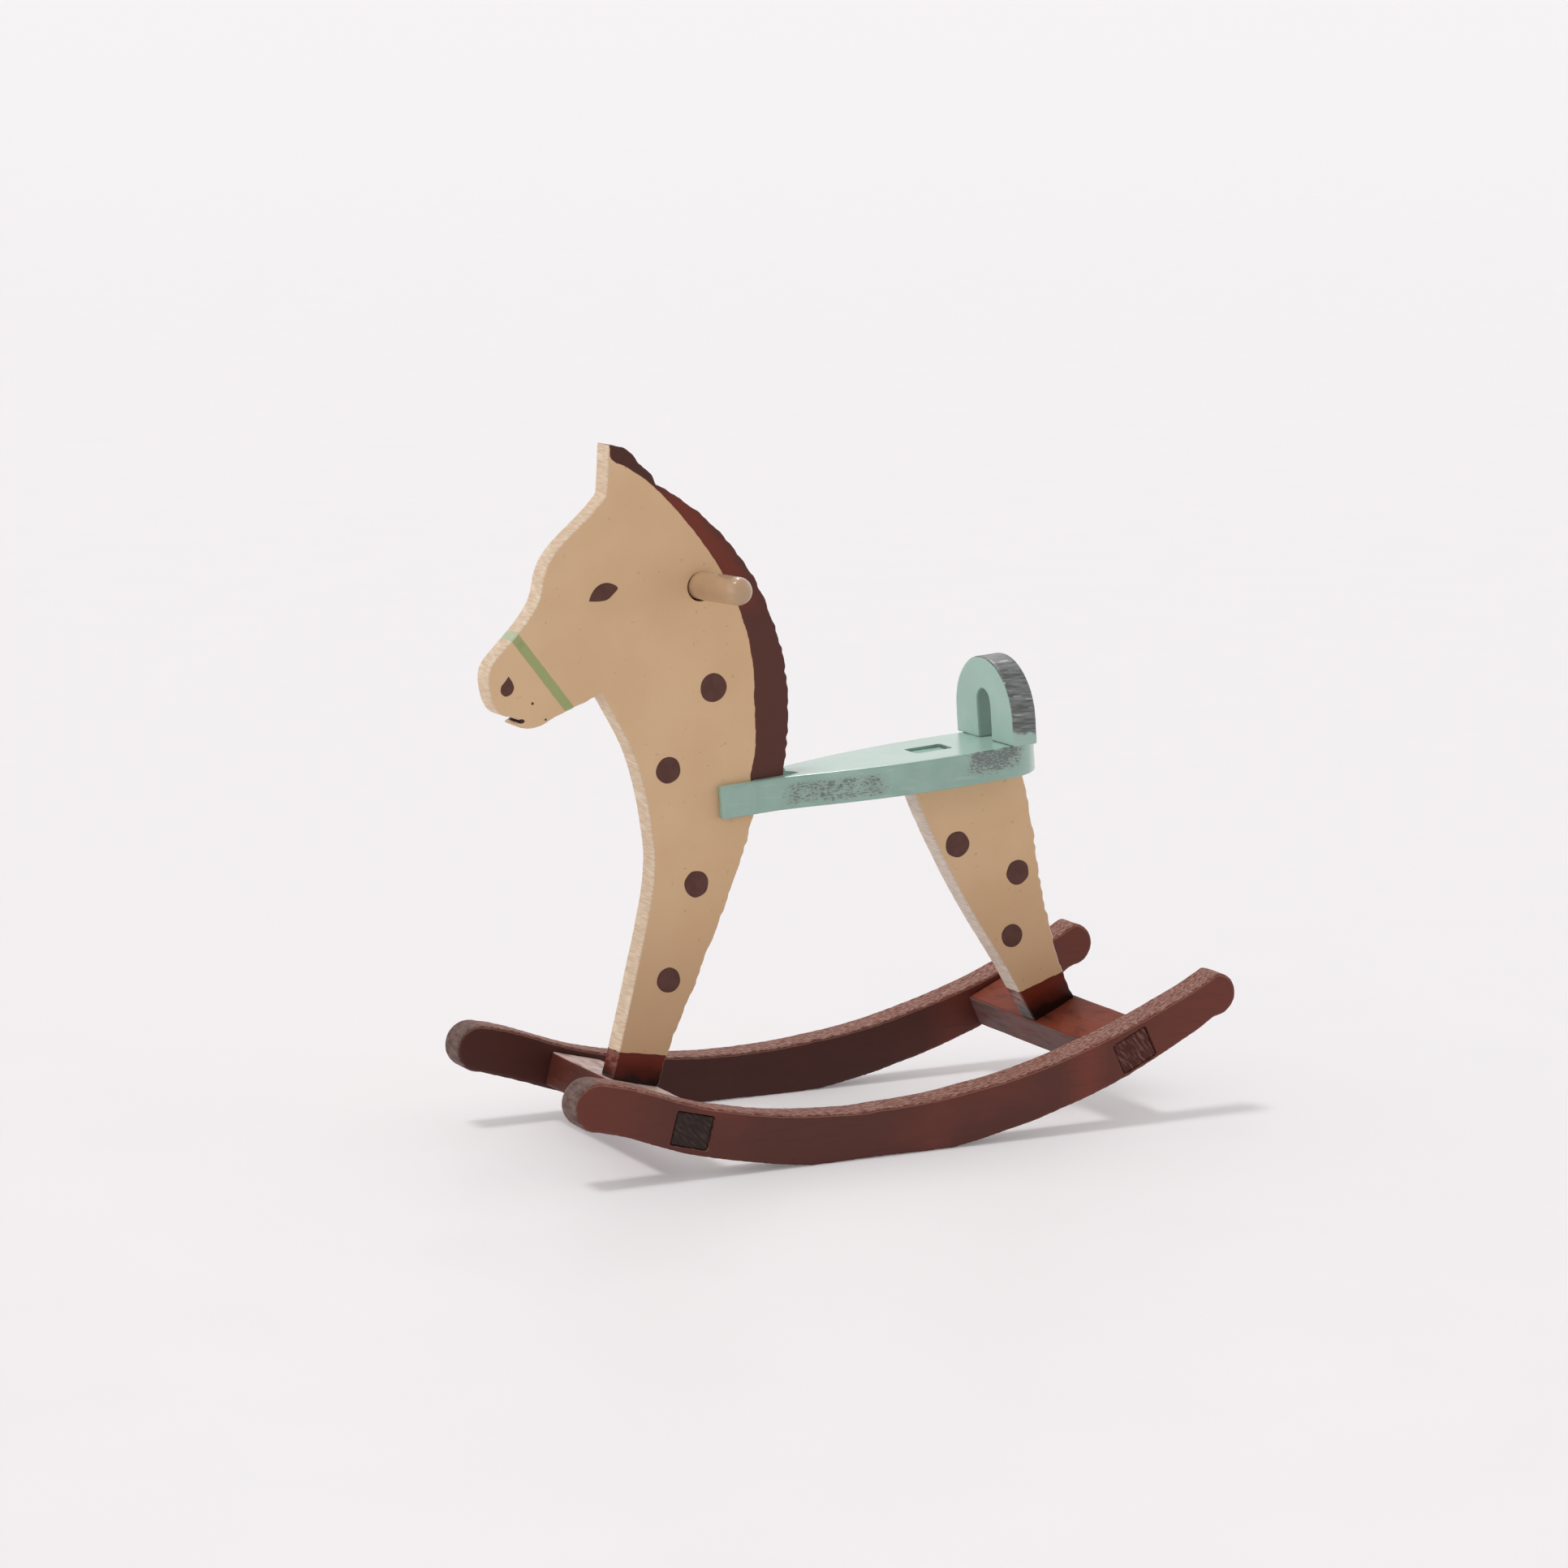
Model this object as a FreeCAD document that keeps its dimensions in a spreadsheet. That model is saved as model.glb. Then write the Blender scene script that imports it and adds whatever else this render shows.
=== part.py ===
import FreeCAD, Part
import math
import os

import Sketcher

# A small wooden rocking horse that stands on a shelf.
# Millimetres; +Z up; the horse faces -X and its left side is -Y.
# The origin lies on the surface it stands on, under the middle of the whole toy,
# and the toy is symmetrical about the XZ plane.

os.makedirs("parts", exist_ok=True)
doc = FreeCAD.newDocument("RockingHorse")
Vector = FreeCAD.Vector

# ---------------------------------------------------------------- driving dimensions
DIMENSIONS = {
    # thickness of each kind of board
    "thin_board": 5.0,
    "seat_board_thickness": 6.0,
    "bar_board_thickness": 6.2,
    "rocker_board_thickness": 6.5,
    # rockers, sawn alike, with the sole sanded flat where they stand
    "rocker_depth": 8.8,
    "rocker_front_reach": 64.8,
    "rocker_rear_reach": 68.7,
    "sole_middle": -4.7,
    "sole_length": 28.8,
    "rocker_outer_width": 58.6,
    # crossbars between the rockers
    "bar_width": 10.2,
    "tenon_width": 7.3,
    "tenon_depth": 6.0,
    "tenon_recess": 0.25,
    "front_bar_along": -41.8,
    "front_bar_height": 8.7,
    "front_bar_slope": -14.5,
    "front_tenon_shift": -0.6,
    "rear_bar_along": 47.3,
    "rear_bar_height": 14.1,
    "rear_bar_slope": 24.5,
    "rear_tenon_shift": 0.1,
    # feet let into the crossbars
    "foot_tenon_width": 5.0,
    "foot_tenon_depth": 2.5,
    "front_foot_shift": -0.6,
    "rear_foot_shift": -0.3,
    # how far each foot stops short of its crossbar's edges
    "front_toe_setback": 0.5,
    "rear_toe_setback": 0.3,
    "heel_setback": 0.5,
    # seat, measured from the point where its top meets the back of the neck
    "seat_along": -11.2,
    "seat_height": 65.6,
    "seat_slope": 4.2,
    "seat_nose": 13.3,
    "neck_slot_depth": 7.1,
    "seat_nose_half_width": 4.0,
    "seat_round_centre": 42.5,
    "seat_round_radius": 9.5,
    "rear_mortise_centre": 31.2,
    "rear_mortise_length": 7.2,
    "rear_tenon_recess": 0.5,
    "leg_shoulder_front": 26.0,
    "leg_shoulder_rear": 49.0,
    # arched board across the rear of the seat
    "seat_back_front": 43.2,
    "seat_back_half_width": 10.8,
    "seat_back_spring": 4.8,
    "back_slot_half_width": 2.3,
    "back_slot_spring": 7.1,
    # handle dowel through the head
    "handle_along": -27.4,
    "handle_height": 100.9,
    "handle_diameter": 5.0,
    "handle_length": 38.4,
    "handle_tilt": 2.3,
}

sheet = doc.addObject("Spreadsheet::Sheet", "Dimensions")
for row, (alias, value) in enumerate(DIMENSIONS.items(), start=1):
    sheet.set(f"A{row}", alias)
    sheet.set(f"B{row}", str(value))
    sheet.setAlias(f"B{row}", alias)
doc.recompute()


def dim(alias):
    """The number that the sheet holds under this alias."""
    return float(sheet.get(alias))


# ---------------------------------------------------------------- drawing helpers
def flat(point):
    """A sketch point from a pair."""
    return Vector(point[0], point[1], 0)


def line(start, end):
    return Part.LineSegment(flat(start), flat(end))


def arc(start, middle, end):
    return Part.Arc(flat(start), flat(middle), flat(end))


def curve(points):
    """A smooth sawn edge through a few points."""
    spline = Part.BSplineCurve()
    spline.interpolate([flat(point) for point in points])
    return spline


def polyline(points):
    return [line(start, end) for start, end in zip(points, points[1:])]


def mirrored(points):
    """The same points on the other side of the first axis, in reverse order."""
    return [(along, -across) for along, across in reversed(points)]


def tilted(centre, degrees, along, up):
    """A point given along and square to a slope through a centre, in side view."""
    angle = math.radians(degrees)
    return (
        centre[0] + along * math.cos(angle) - up * math.sin(angle),
        centre[1] + along * math.sin(angle) + up * math.cos(angle),
    )


def new_body(name):
    body = doc.addObject("PartDesign::Body", name)
    body.Label = name
    return body


def new_sketch(body, name, plane_role):
    """An empty sketch on one of the body's own origin planes."""
    sketch = body.newObject("Sketcher::SketchObject", name)
    plane = next(item for item in body.Origin.OriginFeatures if item.Role == plane_role)
    sketch.AttachmentSupport = (plane, "")
    sketch.MapMode = "FlatFace"
    return sketch


def outline_sketch(body, name, plane_role, edges):
    """A closed outline, each edge fixed where it is drawn."""
    sketch = new_sketch(body, name, plane_role)
    for edge in edges:
        index = sketch.addGeometry(edge)
        sketch.addConstraint(Sketcher.Constraint("Block", index))
    return sketch


def rectangle_sketch(body, name, plane_role, width_formula, height_formula):
    """A rectangle centred on the sketch's origin, sized by two sheet formulas."""
    sketch = new_sketch(body, name, plane_role)
    corners = [(-1, -1), (1, -1), (1, 1), (-1, 1)]
    for start, end in zip(corners, corners[1:] + corners[:1]):
        sketch.addGeometry(line(start, end))
    for index in range(4):
        sketch.addConstraint(Sketcher.Constraint("Coincident", index, 2, (index + 1) % 4, 1))
    for index in (0, 2):
        sketch.addConstraint(Sketcher.Constraint("Horizontal", index))
    for index in (1, 3):
        sketch.addConstraint(Sketcher.Constraint("Vertical", index))
    sketch.addConstraint(Sketcher.Constraint("Symmetric", 0, 1, 2, 1, -1, 1))
    width = sketch.addConstraint(Sketcher.Constraint("DistanceX", 0, 1, 0, 2, 2.0))
    height = sketch.addConstraint(Sketcher.Constraint("DistanceY", 1, 1, 1, 2, 2.0))
    sketch.setExpression(f"Constraints[{width}]", width_formula)
    sketch.setExpression(f"Constraints[{height}]", height_formula)
    return sketch


def pad(body, sketch, length_formula, side="Symmetric", reverse=False):
    feature = body.newObject("PartDesign::Pad", sketch.Name + "_pad")
    feature.Profile = sketch
    feature.SideType = side
    feature.Reversed = reverse
    feature.setExpression("Length", length_formula)
    return feature


def pocket(body, sketch, length_formula, side="Symmetric", reverse=False):
    feature = body.newObject("PartDesign::Pocket", sketch.Name + "_pocket")
    feature.Profile = sketch
    feature.SideType = side
    feature.Reversed = reverse
    feature.setExpression("Length", length_formula)
    return feature


def through(thickness_alias):
    """A length for a cut both ways from a board's face or middle that surely leaves it."""
    return f"Dimensions.{thickness_alias} * 3"


def place_on_slope(body, along_alias, height_alias, slope_alias):
    """Puts a body's own origin on a point of the side view and leans it by a slope."""
    body.Placement = FreeCAD.Placement(Vector(), FreeCAD.Rotation(Vector(0, -1, 0), 1))
    body.setExpression("Placement.Base.x", f"Dimensions.{along_alias}")
    body.setExpression("Placement.Base.z", f"Dimensions.{height_alias}")
    body.setExpression("Placement.Rotation.Angle", f"Dimensions.{slope_alias} * 1 deg")


# ---------------------------------------------------------------- reference lines
SEAT_CORNER = (dim("seat_along"), dim("seat_height"))


def on_seat(along, up=0.0):
    """A point of the side view, measured along the seat's top and square to it."""
    return tilted(SEAT_CORNER, dim("seat_slope"), along, up)


def on_bar(end, along, up):
    """A point of the side view, measured from a crossbar's centre."""
    centre = (dim(end + "_bar_along"), dim(end + "_bar_height"))
    return tilted(centre, dim(end + "_bar_slope"), along, up)


def toe(end):
    """Where the front edge of a foot meets the top of its crossbar."""
    along = dim(end + "_toe_setback") - dim("bar_width") / 2
    return on_bar(end, along, dim("bar_board_thickness") / 2)


def heel(end):
    """Where the rear edge of a foot meets the top of its crossbar."""
    along = dim("bar_width") / 2 - dim("heel_setback")
    return on_bar(end, along, dim("bar_board_thickness") / 2)


def foot_tenon(end):
    """The stub under a foot, from its rear shoulder round to its front shoulder."""
    half = dim("foot_tenon_width") / 2
    shift = dim(end + "_foot_shift")
    top = dim("bar_board_thickness") / 2
    bottom = top - dim("foot_tenon_depth")
    return [
        on_bar(end, shift + half, top),
        on_bar(end, shift + half, bottom),
        on_bar(end, shift - half, bottom),
        on_bar(end, shift - half, top),
    ]


# ---------------------------------------------------------------- head, neck and foreleg
def head_board():
    """One board sawn to the head, neck and foreleg, with a step that holds the seat."""
    ear_front = [(-45.5, 126.9), (-46.0, 117.9)]
    forehead = [
        ear_front[-1],
        (-51.0, 112.9),
        (-54.7, 109.6),
        (-57.9, 104.6),
        (-58.6, 101.3),
        (-64.7, 93.0),
        (-67.7, 89.8),
    ]
    muzzle = [forehead[-1], (-68.7, 87.4), (-68.5, 84.0), (-67.5, 81.3), (-64.9, 79.9)]
    mouth = [muzzle[-1], (-62.6, 79.1), (-63.9, 78.5)]
    chin = [mouth[-1], (-62.9, 77.9), (-60.8, 77.6), (-58.6, 78.1), (-56.9, 78.9)]
    jaw = [chin[-1], (-47.2, 82.8)]
    neck_front = [
        jaw[-1],
        (-43.1, 76.0),
        (-40.2, 69.5),
        (-37.9, 60.0),
        (-36.9, 52.1),
        (-38.2, 42.5),
        (-40.6, 31.8),
        (-43.8, 19.0),
        toe("front"),
    ]
    foot = [neck_front[-1]] + foot_tenon("front")[::-1] + [heel("front")]
    slot_end = dim("neck_slot_depth") - dim("seat_nose")
    seat_step = [
        on_seat(slot_end, -dim("seat_board_thickness")),
        on_seat(slot_end),
        on_seat(0.0),
    ]
    leg_back = [
        foot[-1],
        (-34.6, 16.3),
        (-29.4, 27.7),
        (-24.5, 39.0),
        (-19.9, 50.2),
        seat_step[0],
    ]
    crest = [
        seat_step[-1],
        (-10.1, 75.0),
        (-10.6, 83.8),
        (-13.0, 93.5),
        (-17.8, 103.0),
        (-25.2, 111.7),
        (-36.4, 119.4),
    ]
    ear_back = [crest[-1], (-37.0, 121.2), (-39.0, 122.7), (-40.2, 124.4), (-42.6, 126.3), ear_front[0]]

    edges = [line(*ear_front), curve(forehead), curve(muzzle)]
    edges += polyline(mouth)
    edges += [curve(chin), line(*jaw), curve(neck_front)]
    edges += polyline(foot)
    edges.append(curve(leg_back))
    edges += polyline(seat_step)
    edges.append(curve(crest))
    edges += polyline(ear_back)

    body = new_body("head_board")
    outline = outline_sketch(body, "head_outline", "XZ_Plane", edges)
    board = pad(body, outline, "Dimensions.thin_board")

    hole = new_sketch(body, "handle_hole", "XZ_Plane")
    circle = hole.addGeometry(Part.Circle(Vector(), Vector(0, 0, 1), dim("handle_diameter") / 2))
    hole.addConstraint(Sketcher.Constraint("Coincident", circle, 3, -1, 1))
    diameter = hole.addConstraint(Sketcher.Constraint("Diameter", circle, dim("handle_diameter")))
    hole.setExpression(f"Constraints[{diameter}]", "Dimensions.handle_diameter")
    hole.AttachmentOffset = FreeCAD.Placement(Vector(), FreeCAD.Rotation(Vector(-1, 0, 0), 1))
    hole.setExpression("AttachmentOffset.Base.x", "Dimensions.handle_along")
    hole.setExpression("AttachmentOffset.Base.y", "Dimensions.handle_height")
    hole.setExpression("AttachmentOffset.Rotation.Angle", "Dimensions.handle_tilt * 1 deg")
    cut = pocket(body, hole, through("thin_board"))
    return body, board, cut


# ---------------------------------------------------------------- handle dowel
def handle_dowel():
    """A turned dowel with round ends, a touch out of square with the head."""
    radius = dim("handle_diameter") / 2
    half = dim("handle_length") / 2
    shoulder = half - radius
    slant = radius * math.sqrt(0.5)
    body = new_body("handle_dowel")
    edges = [
        arc((0, -half), (slant, -shoulder - slant), (radius, -shoulder)),
        line((radius, -shoulder), (radius, shoulder)),
        arc((radius, shoulder), (slant, shoulder + slant), (0, half)),
        line((0, half), (0, -half)),
    ]
    profile = outline_sketch(body, "handle_profile", "XY_Plane", edges)
    turned = body.newObject("PartDesign::Revolution", "handle_turning")
    turned.Profile = profile
    turned.ReferenceAxis = (profile, ["V_Axis"])
    turned.Angle = 360
    body.Placement = FreeCAD.Placement(Vector(), FreeCAD.Rotation(Vector(-1, 0, 0), 1))
    body.setExpression("Placement.Base.x", "Dimensions.handle_along")
    body.setExpression("Placement.Base.z", "Dimensions.handle_height")
    body.setExpression("Placement.Rotation.Angle", "Dimensions.handle_tilt * 1 deg")
    return body


# ---------------------------------------------------------------- rear leg
def rear_leg():
    """A tapered board with a tenon up through the seat and a stub into the crossbar."""
    under = -dim("seat_board_thickness")
    half = dim("rear_mortise_length") / 2
    centre = dim("rear_mortise_centre")
    tenon_top = -dim("rear_tenon_recess")
    shoulder_front = on_seat(dim("leg_shoulder_front"), under)
    shoulder_rear = on_seat(dim("leg_shoulder_rear"), under)
    seat_tenon = [
        shoulder_front,
        on_seat(centre - half, under),
        on_seat(centre - half, tenon_top),
        on_seat(centre + half, tenon_top),
        on_seat(centre + half, under),
        shoulder_rear,
    ]
    foot = [heel("rear")] + foot_tenon("rear") + [toe("rear")]
    calf = [shoulder_rear, (42.6, 41.5), (46.2, 27.5), foot[0]]
    shin = [foot[-1], (37.6, 21.8), (26.4, 39.4), (20.2, 50.6), shoulder_front]

    edges = polyline(seat_tenon)
    edges.append(curve(calf))
    edges += polyline(foot)
    edges.append(curve(shin))

    body = new_body("rear_leg")
    outline = outline_sketch(body, "rear_leg_outline", "XZ_Plane", edges)
    pad(body, outline, "Dimensions.thin_board")
    return body


# ---------------------------------------------------------------- seat
def seat_board():
    """The seat: a fork that straddles the neck, widening to a round rear end."""
    nose = -dim("seat_nose")
    half_nose = dim("seat_nose_half_width")
    centre = dim("seat_round_centre")
    radius = dim("seat_round_radius")
    half_slot = dim("thin_board") / 2
    slot_end = nose + dim("neck_slot_depth")
    left_side = [
        (-2.5, -half_nose),
        (2.8, -5.1),
        (7.8, -6.4),
        (12.8, -7.6),
        (18.8, -8.7),
        (26.0, -9.5),
        (34.0, -9.8),
        (centre, -radius),
    ]
    right_side = mirrored(left_side)
    fork = [
        right_side[-1],
        (nose, half_nose),
        (nose, half_slot),
        (slot_end, half_slot),
        (slot_end, -half_slot),
        (nose, -half_slot),
        (nose, -half_nose),
        left_side[0],
    ]
    edges = [curve(left_side)]
    edges.append(arc(left_side[-1], (centre + radius, 0), right_side[0]))
    edges.append(curve(right_side))
    edges += polyline(fork)

    body = new_body("seat_board")
    outline = outline_sketch(body, "seat_outline", "XY_Plane", edges)
    board = pad(body, outline, "Dimensions.seat_board_thickness", "One side", True)
    mortise = rectangle_sketch(
        body, "rear_leg_mortise", "XY_Plane", "Dimensions.rear_mortise_length", "Dimensions.thin_board"
    )
    mortise.setExpression("AttachmentOffset.Base.x", "Dimensions.rear_mortise_centre")
    cut = pocket(body, mortise, through("seat_board_thickness"))
    place_on_slope(body, "seat_along", "seat_height", "seat_slope")
    return body, board, cut


def seat_back():
    """An arched board that stands square on the seat, with a slot open at its foot."""
    half = dim("seat_back_half_width")
    spring = dim("seat_back_spring")
    slot_half = dim("back_slot_half_width")
    slot_spring = dim("back_slot_spring")
    edges = [
        line((-slot_half, 0), (-half, 0)),
        line((-half, 0), (-half, spring)),
        arc((-half, spring), (0, spring + half), (half, spring)),
        line((half, spring), (half, 0)),
        line((half, 0), (slot_half, 0)),
        line((slot_half, 0), (slot_half, slot_spring)),
        arc((slot_half, slot_spring), (0, slot_spring + slot_half), (-slot_half, slot_spring)),
        line((-slot_half, slot_spring), (-slot_half, 0)),
    ]
    body = new_body("seat_back")
    outline = outline_sketch(body, "seat_back_outline", "YZ_Plane", edges)
    outline.setExpression("AttachmentOffset.Base.z", "Dimensions.seat_back_front")
    pad(body, outline, "Dimensions.thin_board", "One side")
    place_on_slope(body, "seat_along", "seat_height", "seat_slope")
    return body


# ---------------------------------------------------------------- crossbars
def crossbar(end):
    """A flat bar laid along the rockers' curve, with a tenon through each rocker."""
    body = new_body(end + "_crossbar")
    gap = "(Dimensions.rocker_outer_width - 2 * Dimensions.rocker_board_thickness)"
    plank = rectangle_sketch(body, end + "_bar_plank", "XY_Plane", "Dimensions.bar_width", gap)
    pad(body, plank, "Dimensions.bar_board_thickness")
    tenon = rectangle_sketch(
        body, end + "_bar_tenons", "XZ_Plane", "Dimensions.tenon_width", "Dimensions.tenon_depth"
    )
    tenon.setExpression("AttachmentOffset.Base.x", f"Dimensions.{end}_tenon_shift")
    pad(body, tenon, "Dimensions.rocker_outer_width - 2 * Dimensions.tenon_recess")
    socket = rectangle_sketch(
        body, end + "_foot_socket", "XY_Plane", "Dimensions.foot_tenon_width", "Dimensions.thin_board"
    )
    socket.setExpression("AttachmentOffset.Base.x", f"Dimensions.{end}_foot_shift")
    socket.setExpression("AttachmentOffset.Base.z", "Dimensions.bar_board_thickness / 2")
    pocket(body, socket, "Dimensions.foot_tenon_depth", "One side")
    place_on_slope(body, end + "_bar_along", end + "_bar_height", end + "_bar_slope")
    return body


# ---------------------------------------------------------------- rockers
def rocker_outline():
    """A hand-sawn strip that curves up at both ends, with a sole sanded flat."""
    sole_front = (dim("sole_middle") - dim("sole_length") / 2, 0.0)
    sole_rear = (dim("sole_middle") + dim("sole_length") / 2, 0.0)
    top = [
        (-60.4, 19.3),
        (-53.9, 17.7),
        (-43.6, 14.0),
        (-30.0, 10.7),
        (-6.9, dim("rocker_depth")),
        (16.9, 10.8),
        (39.3, 16.2),
        (65.0, 27.0),
    ]
    under_rear = [(65.0, 18.8), (50.7, 11.6), (36.0, 5.9), (22.0, 2.3), sole_rear]
    under_front = [sole_front, (-29.7, 1.6), (-43.6, 4.9), (-54.0, 8.6), (-60.7, 10.5)]
    front_tip = (-dim("rocker_front_reach"), 15.2)
    rear_tip = (dim("rocker_rear_reach"), 23.4)
    return [
        curve(top),
        arc(top[-1], rear_tip, under_rear[0]),
        curve(under_rear),
        line(sole_rear, sole_front),
        curve(under_front),
        arc(under_front[-1], front_tip, top[0]),
    ]


def rocker(side, sign):
    """One rocker with two mortises; the sign puts it to the left or the right."""
    body = new_body(side + "_rocker")
    outline = outline_sketch(body, side + "_rocker_outline", "XZ_Plane", rocker_outline())
    pad(body, outline, "Dimensions.rocker_board_thickness")
    for end in ("front", "rear"):
        mortise = rectangle_sketch(
            body, f"{side}_{end}_mortise", "XZ_Plane", "Dimensions.tenon_width", "Dimensions.tenon_depth"
        )
        slope = dim(end + "_bar_slope")
        mortise.AttachmentOffset = FreeCAD.Placement(Vector(), FreeCAD.Rotation(slope, 0, 0))
        shift = f"Dimensions.{end}_tenon_shift"
        lean = f"(Dimensions.{end}_bar_slope * 1 deg)"
        mortise.setExpression(
            "AttachmentOffset.Base.x", f"Dimensions.{end}_bar_along + {shift} * cos{lean}"
        )
        mortise.setExpression(
            "AttachmentOffset.Base.y", f"Dimensions.{end}_bar_height + {shift} * sin{lean}"
        )
        pocket(body, mortise, through("rocker_board_thickness"))
    middle = "(Dimensions.rocker_outer_width - Dimensions.rocker_board_thickness) / 2"
    body.setExpression("Placement.Base.y", f"{sign} * {middle}")
    return body


# ---------------------------------------------------------------- build, check, write
head, head_blank, handle_hole = head_board()
seat, seat_blank, leg_mortise = seat_board()
pieces = [head, handle_dowel(), rear_leg(), seat, seat_back()]
pieces += [crossbar(end) for end in ("front", "rear")]
pieces += [rocker(side, sign) for side, sign in (("left", -1), ("right", 1))]
doc.recompute()

for item in doc.Objects:
    if {"Invalid", "Error"} & set(item.State):
        raise RuntimeError(f"{item.Name} failed: {item.State}")
for blank, cut in ((head_blank, handle_hole), (seat_blank, leg_mortise)):
    if cut.Shape.Volume >= blank.Shape.Volume:
        raise RuntimeError(f"{cut.Name} cuts nothing")
for piece in pieces:
    shape = piece.Shape
    if shape.isNull() or not shape.isValid() or len(shape.Solids) != 1:
        raise RuntimeError(f"{piece.Label} is not one valid solid")
    box = shape.BoundBox
    print(f"{piece.Label:16s} {shape.Volume:9.1f} mm3", box)
    shape.exportStep(f"parts/{piece.Label}.step")
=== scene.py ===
import math

import bmesh
import bpy
import numpy as np
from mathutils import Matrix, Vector, geometry


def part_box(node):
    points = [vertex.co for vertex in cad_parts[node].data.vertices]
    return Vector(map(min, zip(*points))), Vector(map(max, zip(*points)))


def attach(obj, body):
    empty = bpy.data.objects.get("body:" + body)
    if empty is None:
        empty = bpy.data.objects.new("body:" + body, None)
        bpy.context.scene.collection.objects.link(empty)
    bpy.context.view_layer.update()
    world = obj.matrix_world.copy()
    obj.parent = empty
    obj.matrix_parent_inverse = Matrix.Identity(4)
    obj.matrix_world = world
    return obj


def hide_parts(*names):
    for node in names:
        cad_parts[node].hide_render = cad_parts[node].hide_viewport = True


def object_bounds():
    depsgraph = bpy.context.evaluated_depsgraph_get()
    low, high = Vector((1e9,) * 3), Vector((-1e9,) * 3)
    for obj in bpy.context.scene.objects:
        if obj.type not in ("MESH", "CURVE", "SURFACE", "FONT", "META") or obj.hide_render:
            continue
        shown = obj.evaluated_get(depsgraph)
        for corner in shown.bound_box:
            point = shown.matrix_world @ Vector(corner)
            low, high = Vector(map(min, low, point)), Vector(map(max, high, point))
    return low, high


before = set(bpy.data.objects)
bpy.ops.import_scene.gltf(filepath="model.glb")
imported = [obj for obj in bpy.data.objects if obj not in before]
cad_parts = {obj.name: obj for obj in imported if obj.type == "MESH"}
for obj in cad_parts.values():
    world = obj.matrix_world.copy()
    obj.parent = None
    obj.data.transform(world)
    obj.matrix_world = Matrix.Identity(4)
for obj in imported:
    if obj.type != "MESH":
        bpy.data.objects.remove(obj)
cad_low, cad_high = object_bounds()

# A small painted wooden rocking horse: flat sawn boards, brush-painted, on stained rockers.
# Metres; +Z up; the horse faces -X and its left side is -Y.

MM = 0.001
Y_AXIS = Vector((0, 1, 0))
Z_AXIS = Vector((0, 0, 1))

STEP = 0.25 * MM  # distance between points along a sawn outline
ROW = 0.45 * MM  # distance between rows of points across a board's edge
ALIKE = 0.85  # the least cosine between a face's normal and the side that it belongs to
FLAT = 0.99  # and between the normals of one flat face
WELD = 0.02 * MM  # CAD points closer than this are one
LEVEL = 0.03 * MM  # and faces closer in height than this are level
SHARP_TURN = math.radians(25)
STRAIGHT = 4 * MM  # a CAD edge longer than this, and than its neighbours, is a straight one
LONGER = 2.2  # by this many times
SMOOTHINGS = 2
RIM_STEPS = 4
LEAST_RIM = 0.1  # the smallest share of the rounding
HOLE_SHARE = 0.25  # how far a hole is rounded and rippled, against the outer edge
THIN_WALL = 0.35 * MM  # wood left flat between the outer edge and a hole

# How boards are finished, in metres: the rounding of the rims, the slow wander of the saw,
# the marks of its teeth, and how much rougher the edges that face the rear are.
BOARD_FINISH = {"rounding": 0.32 * MM, "wander": 0.09 * MM, "teeth": 0.05 * MM, "rear": 0.17 * MM}
PLANK_FINISH = {"rounding": 0.35 * MM, "wander": 0.06 * MM, "teeth": 0.03 * MM, "rear": 0.0}
ARCH_FINISH = {"rounding": 0.45 * MM, "wander": 0.06 * MM, "teeth": 0.05 * MM, "rear": 0.0}
ROCKER_FINISH = {"rounding": 0.7 * MM, "wander": 0.10 * MM, "teeth": 0.06 * MM, "rear": 0.0}

# The waves in a sawn edge: how long each is along the edge and across it, its slant and its share.
SLOW_WAVE = (6 * MM, 40 * MM)
TEETH_WAVES = (((1.5 * MM, 12 * MM), 0.3, 0.4), ((0.6 * MM, 4 * MM), 0.2, 0.7))
BITES = (((1.1 * MM, 12 * MM), 0.0, 1.0), ((2.6 * MM, 20 * MM), 0.0, 0.6))

# How much wider than the wood in them the holes are, and how far they are moved to one side.
HEAD_GAP = (0.13 * MM, (-0.22 - 0.20j) * MM)
SEAT_GAP = (0.14 * MM, 0j)
ROCKER_GAP = (0.09 * MM, 0j)

SEEDS = {
    "head_board": 100,
    "rear_leg": 200,
    "seat_board": 300,
    "seat_back": 400,
    "front_crossbar": 500,
    "rear_crossbar": 550,
    "left_rocker": 600,
    "right_rocker": 650,
    "handle_dowel": 77,
}


# ---------------------------------------------------------------- reading the CAD nodes
def facing(node, direction):
    """The exact unit normal of the CAD faces that look about that way."""
    total = Vector()
    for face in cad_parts[node].data.polygons:
        if face.normal.dot(direction) > ALIKE:
            total += face.normal * face.area
    return total.normalized()


def node_points(node):
    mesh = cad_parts[node].data
    points = np.zeros(len(mesh.vertices) * 3)
    mesh.vertices.foreach_get("co", points)
    return points.reshape(-1, 3)


def span(points, axis):
    """The lowest and highest place of some points along an axis."""
    along = points @ np.array(axis)
    return along.min(), along.max()


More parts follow.
